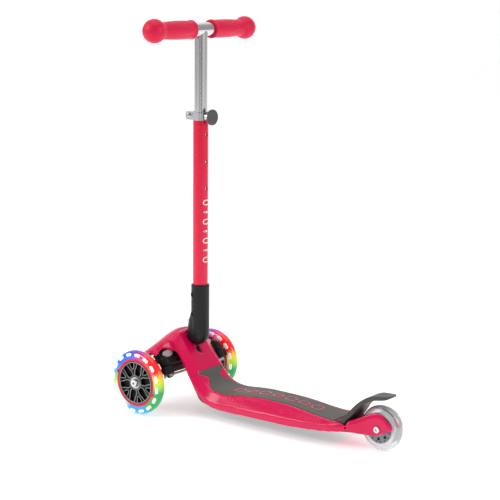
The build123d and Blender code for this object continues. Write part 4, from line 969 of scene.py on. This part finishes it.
mark_white = finish("mark_white", (0.9, 0.9, 0.9), 0.4, grain=900, shade=0.95)
marks = []
for step in range(MARK_COUNT):
    middle = (0.0, MARK_TOP - step * MARK_PITCH)
    if step % 2 == 0:
        half_a, half_b = RING_HALVES
        inner = oval(half_a - RING_LINE, half_b - RING_LINE, MARK_POWER, middle)
    else:
        half_a, half_b = DASH_HALVES
        inner = oval(*DASH_HOLE, MARK_POWER, middle)
    outer = oval(half_a, half_b, MARK_POWER, middle)
    marks.append(outline("mark", MARK_STEPS, inner, outer, on_post, MARK_LIFT, mark_white))
post_marks = join("post_marks", marks)
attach(post_marks, "post")
print("marks on the post", MARK_COUNT)

# %% [markdown]
# ## Plain marks on the pad
# A row of red outlines lies on the pad, one behind the other. Each point of an
# outline is dropped onto the pad by a ray, so the marks follow its crown and dip.

# %% Marks on the pad
RAY_TOP = 0.3
PAD_LEVEL = 0.05                # height used where a ray misses the pad
PAD_MARKS_FRONT, PAD_MARKS_BACK, PAD_MARK_COUNT = 0.068, -0.108, 7
PAD_MARK_HALF, PAD_MARK_INNER, PAD_MARK_LINE = 10.5 * MM, 8.4 * MM, 2.1 * MM
PAD_MARK_LONG, PAD_MARK_SHORT = 11.0, 8.0
PAD_MARK_POWER, PAD_MARK_STEPS, PAD_MARK_LIFT = 3.2, 56, 0.5 * MM


def on_pad(x, y, lift):
    """A point on the pad's top, or a little above it."""
    hit = pad_tree.ray_cast(Vector((x, y, RAY_TOP)), DOWN)[0]
    return hit + Vector((0, 0, lift)) if hit else Vector((x, y, PAD_LEVEL))


pad_marks = []
for step in range(PAD_MARK_COUNT):
    share = step / (PAD_MARK_COUNT - 1)
    x = PAD_MARKS_FRONT + (PAD_MARKS_BACK - PAD_MARKS_FRONT) * share
    half_b = (PAD_MARK_LONG if step % 2 == 0 else PAD_MARK_SHORT) * MM
    outer = oval(PAD_MARK_HALF, half_b, PAD_MARK_POWER, (x, 0.0))
    inner = oval(PAD_MARK_INNER, half_b - PAD_MARK_LINE, PAD_MARK_POWER, (x, 0.0))
    pad_marks.append(outline("mark", PAD_MARK_STEPS, inner, outer, on_pad, PAD_MARK_LIFT, shell_gloss))
pad_outlines = join("pad_outlines", pad_marks)
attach(pad_outlines, "deck")
print("marks placed")

# %% [markdown]
# ## Locating rib
# A black locating rib fills the notch behind the folding foot. It is one soft block
# along the slope of the neck. A rounded block could be a cube with a bevel, but this
# shape needs no modifier and has even faces.

# %% Locating rib
def soft_block(name, centre, axes, halves, power, material):
    """A block with rounded edges, drawn along three given directions."""
    rings, around = 24, 40
    points, faces = [], []
    for ring in range(rings + 1):
        rise = pi * ring / rings - pi / 2
        for step in range(around):
            turn = 2 * pi * step / around
            parts = (cos(rise) * cos(turn), cos(rise) * sin(turn), sin(rise))
            offset = Vector((0, 0, 0))
            for axis, half, part in zip(axes, halves, parts):
                offset += axis * half * abs(part) ** (2 / power) * (1 if part >= 0 else -1)
            points.append(centre + offset)
    for ring in range(rings):
        for step in range(around):
            after = (step + 1) % around
            faces.append((ring * around + step, ring * around + after,
                          (ring + 1) * around + after, (ring + 1) * around + step))
    made = mesh_object(name, points, faces)
    made.data.materials.append(material)
    return made


slope_up = Vector((-0.76, 0, 0.65))
slope_along = Vector((0.65, 0, 0.76))
RIB_SINK, RIB_POWER = 1.2, 3.5
RIB_HALVES = (5.4 * MM, 3.7 * MM, 2.6 * MM)
rib_centre = Vector((168.0, 0, 113.0)) * MM - slope_up * RIB_SINK * MM
rib = soft_block("locating_rib", rib_centre, (slope_along, Vector((0, 1, 0)), slope_up),
                 RIB_HALVES, RIB_POWER, joint_black)
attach(rib, "deck")
print("locating rib points", len(rib.data.vertices))

# %% [markdown]
# ## Lines on the sleeve
# Fine raised lines frame the two bolts on each side of the sleeve, and a long loop
# stands between them, as the mould's own pattern. They are thin bars along paths
# that lie on the sleeve's round side.

# %% Sleeve lines
SLEEVE_R = 17.25 * MM
BOLT_X, BOLT_HEIGHTS = post_x + 4.6 * MM, (181.9 * MM, 218.7 * MM)
LINE_BAR, BOLT_RING_R = 0.4 * MM, 6.4 * MM
LOOP_HALF, LOOP_R = 4.2 * MM, 3.4 * MM


def on_sleeve(side, x, z):
    """A point on the sleeve's side at a given x and height."""
    return Vector((x, side * sqrt(SLEEVE_R ** 2 - (x - post_x) ** 2), z))


raised = []
for side in (1, -1):
    for height in BOLT_HEIGHTS:
        bolt_ring = []
        for step in range(30):
            angle = radians(12 * step)
            bolt_ring.append(on_sleeve(side, BOLT_X + BOLT_RING_R * cos(angle),
                                       height + BOLT_RING_R * sin(angle)))
        raised.append(bar("line", bolt_ring, LINE_BAR, joint_black, closed=True))
    middle = sum(BOLT_HEIGHTS) / 2
    long_loop = []
    for step in range(36):
        angle = radians(10 * step)
        end = LOOP_HALF * (1 if sin(angle) >= 0 else -1)
        long_loop.append(on_sleeve(side, BOLT_X + LOOP_R * cos(angle), middle + end + LOOP_R * sin(angle)))
    raised.append(bar("line", long_loop, LINE_BAR, joint_black, closed=True))
sleeve_lines = join("sleeve_lines", raised)
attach(sleeve_lines, "post")
print("joint relief ready")
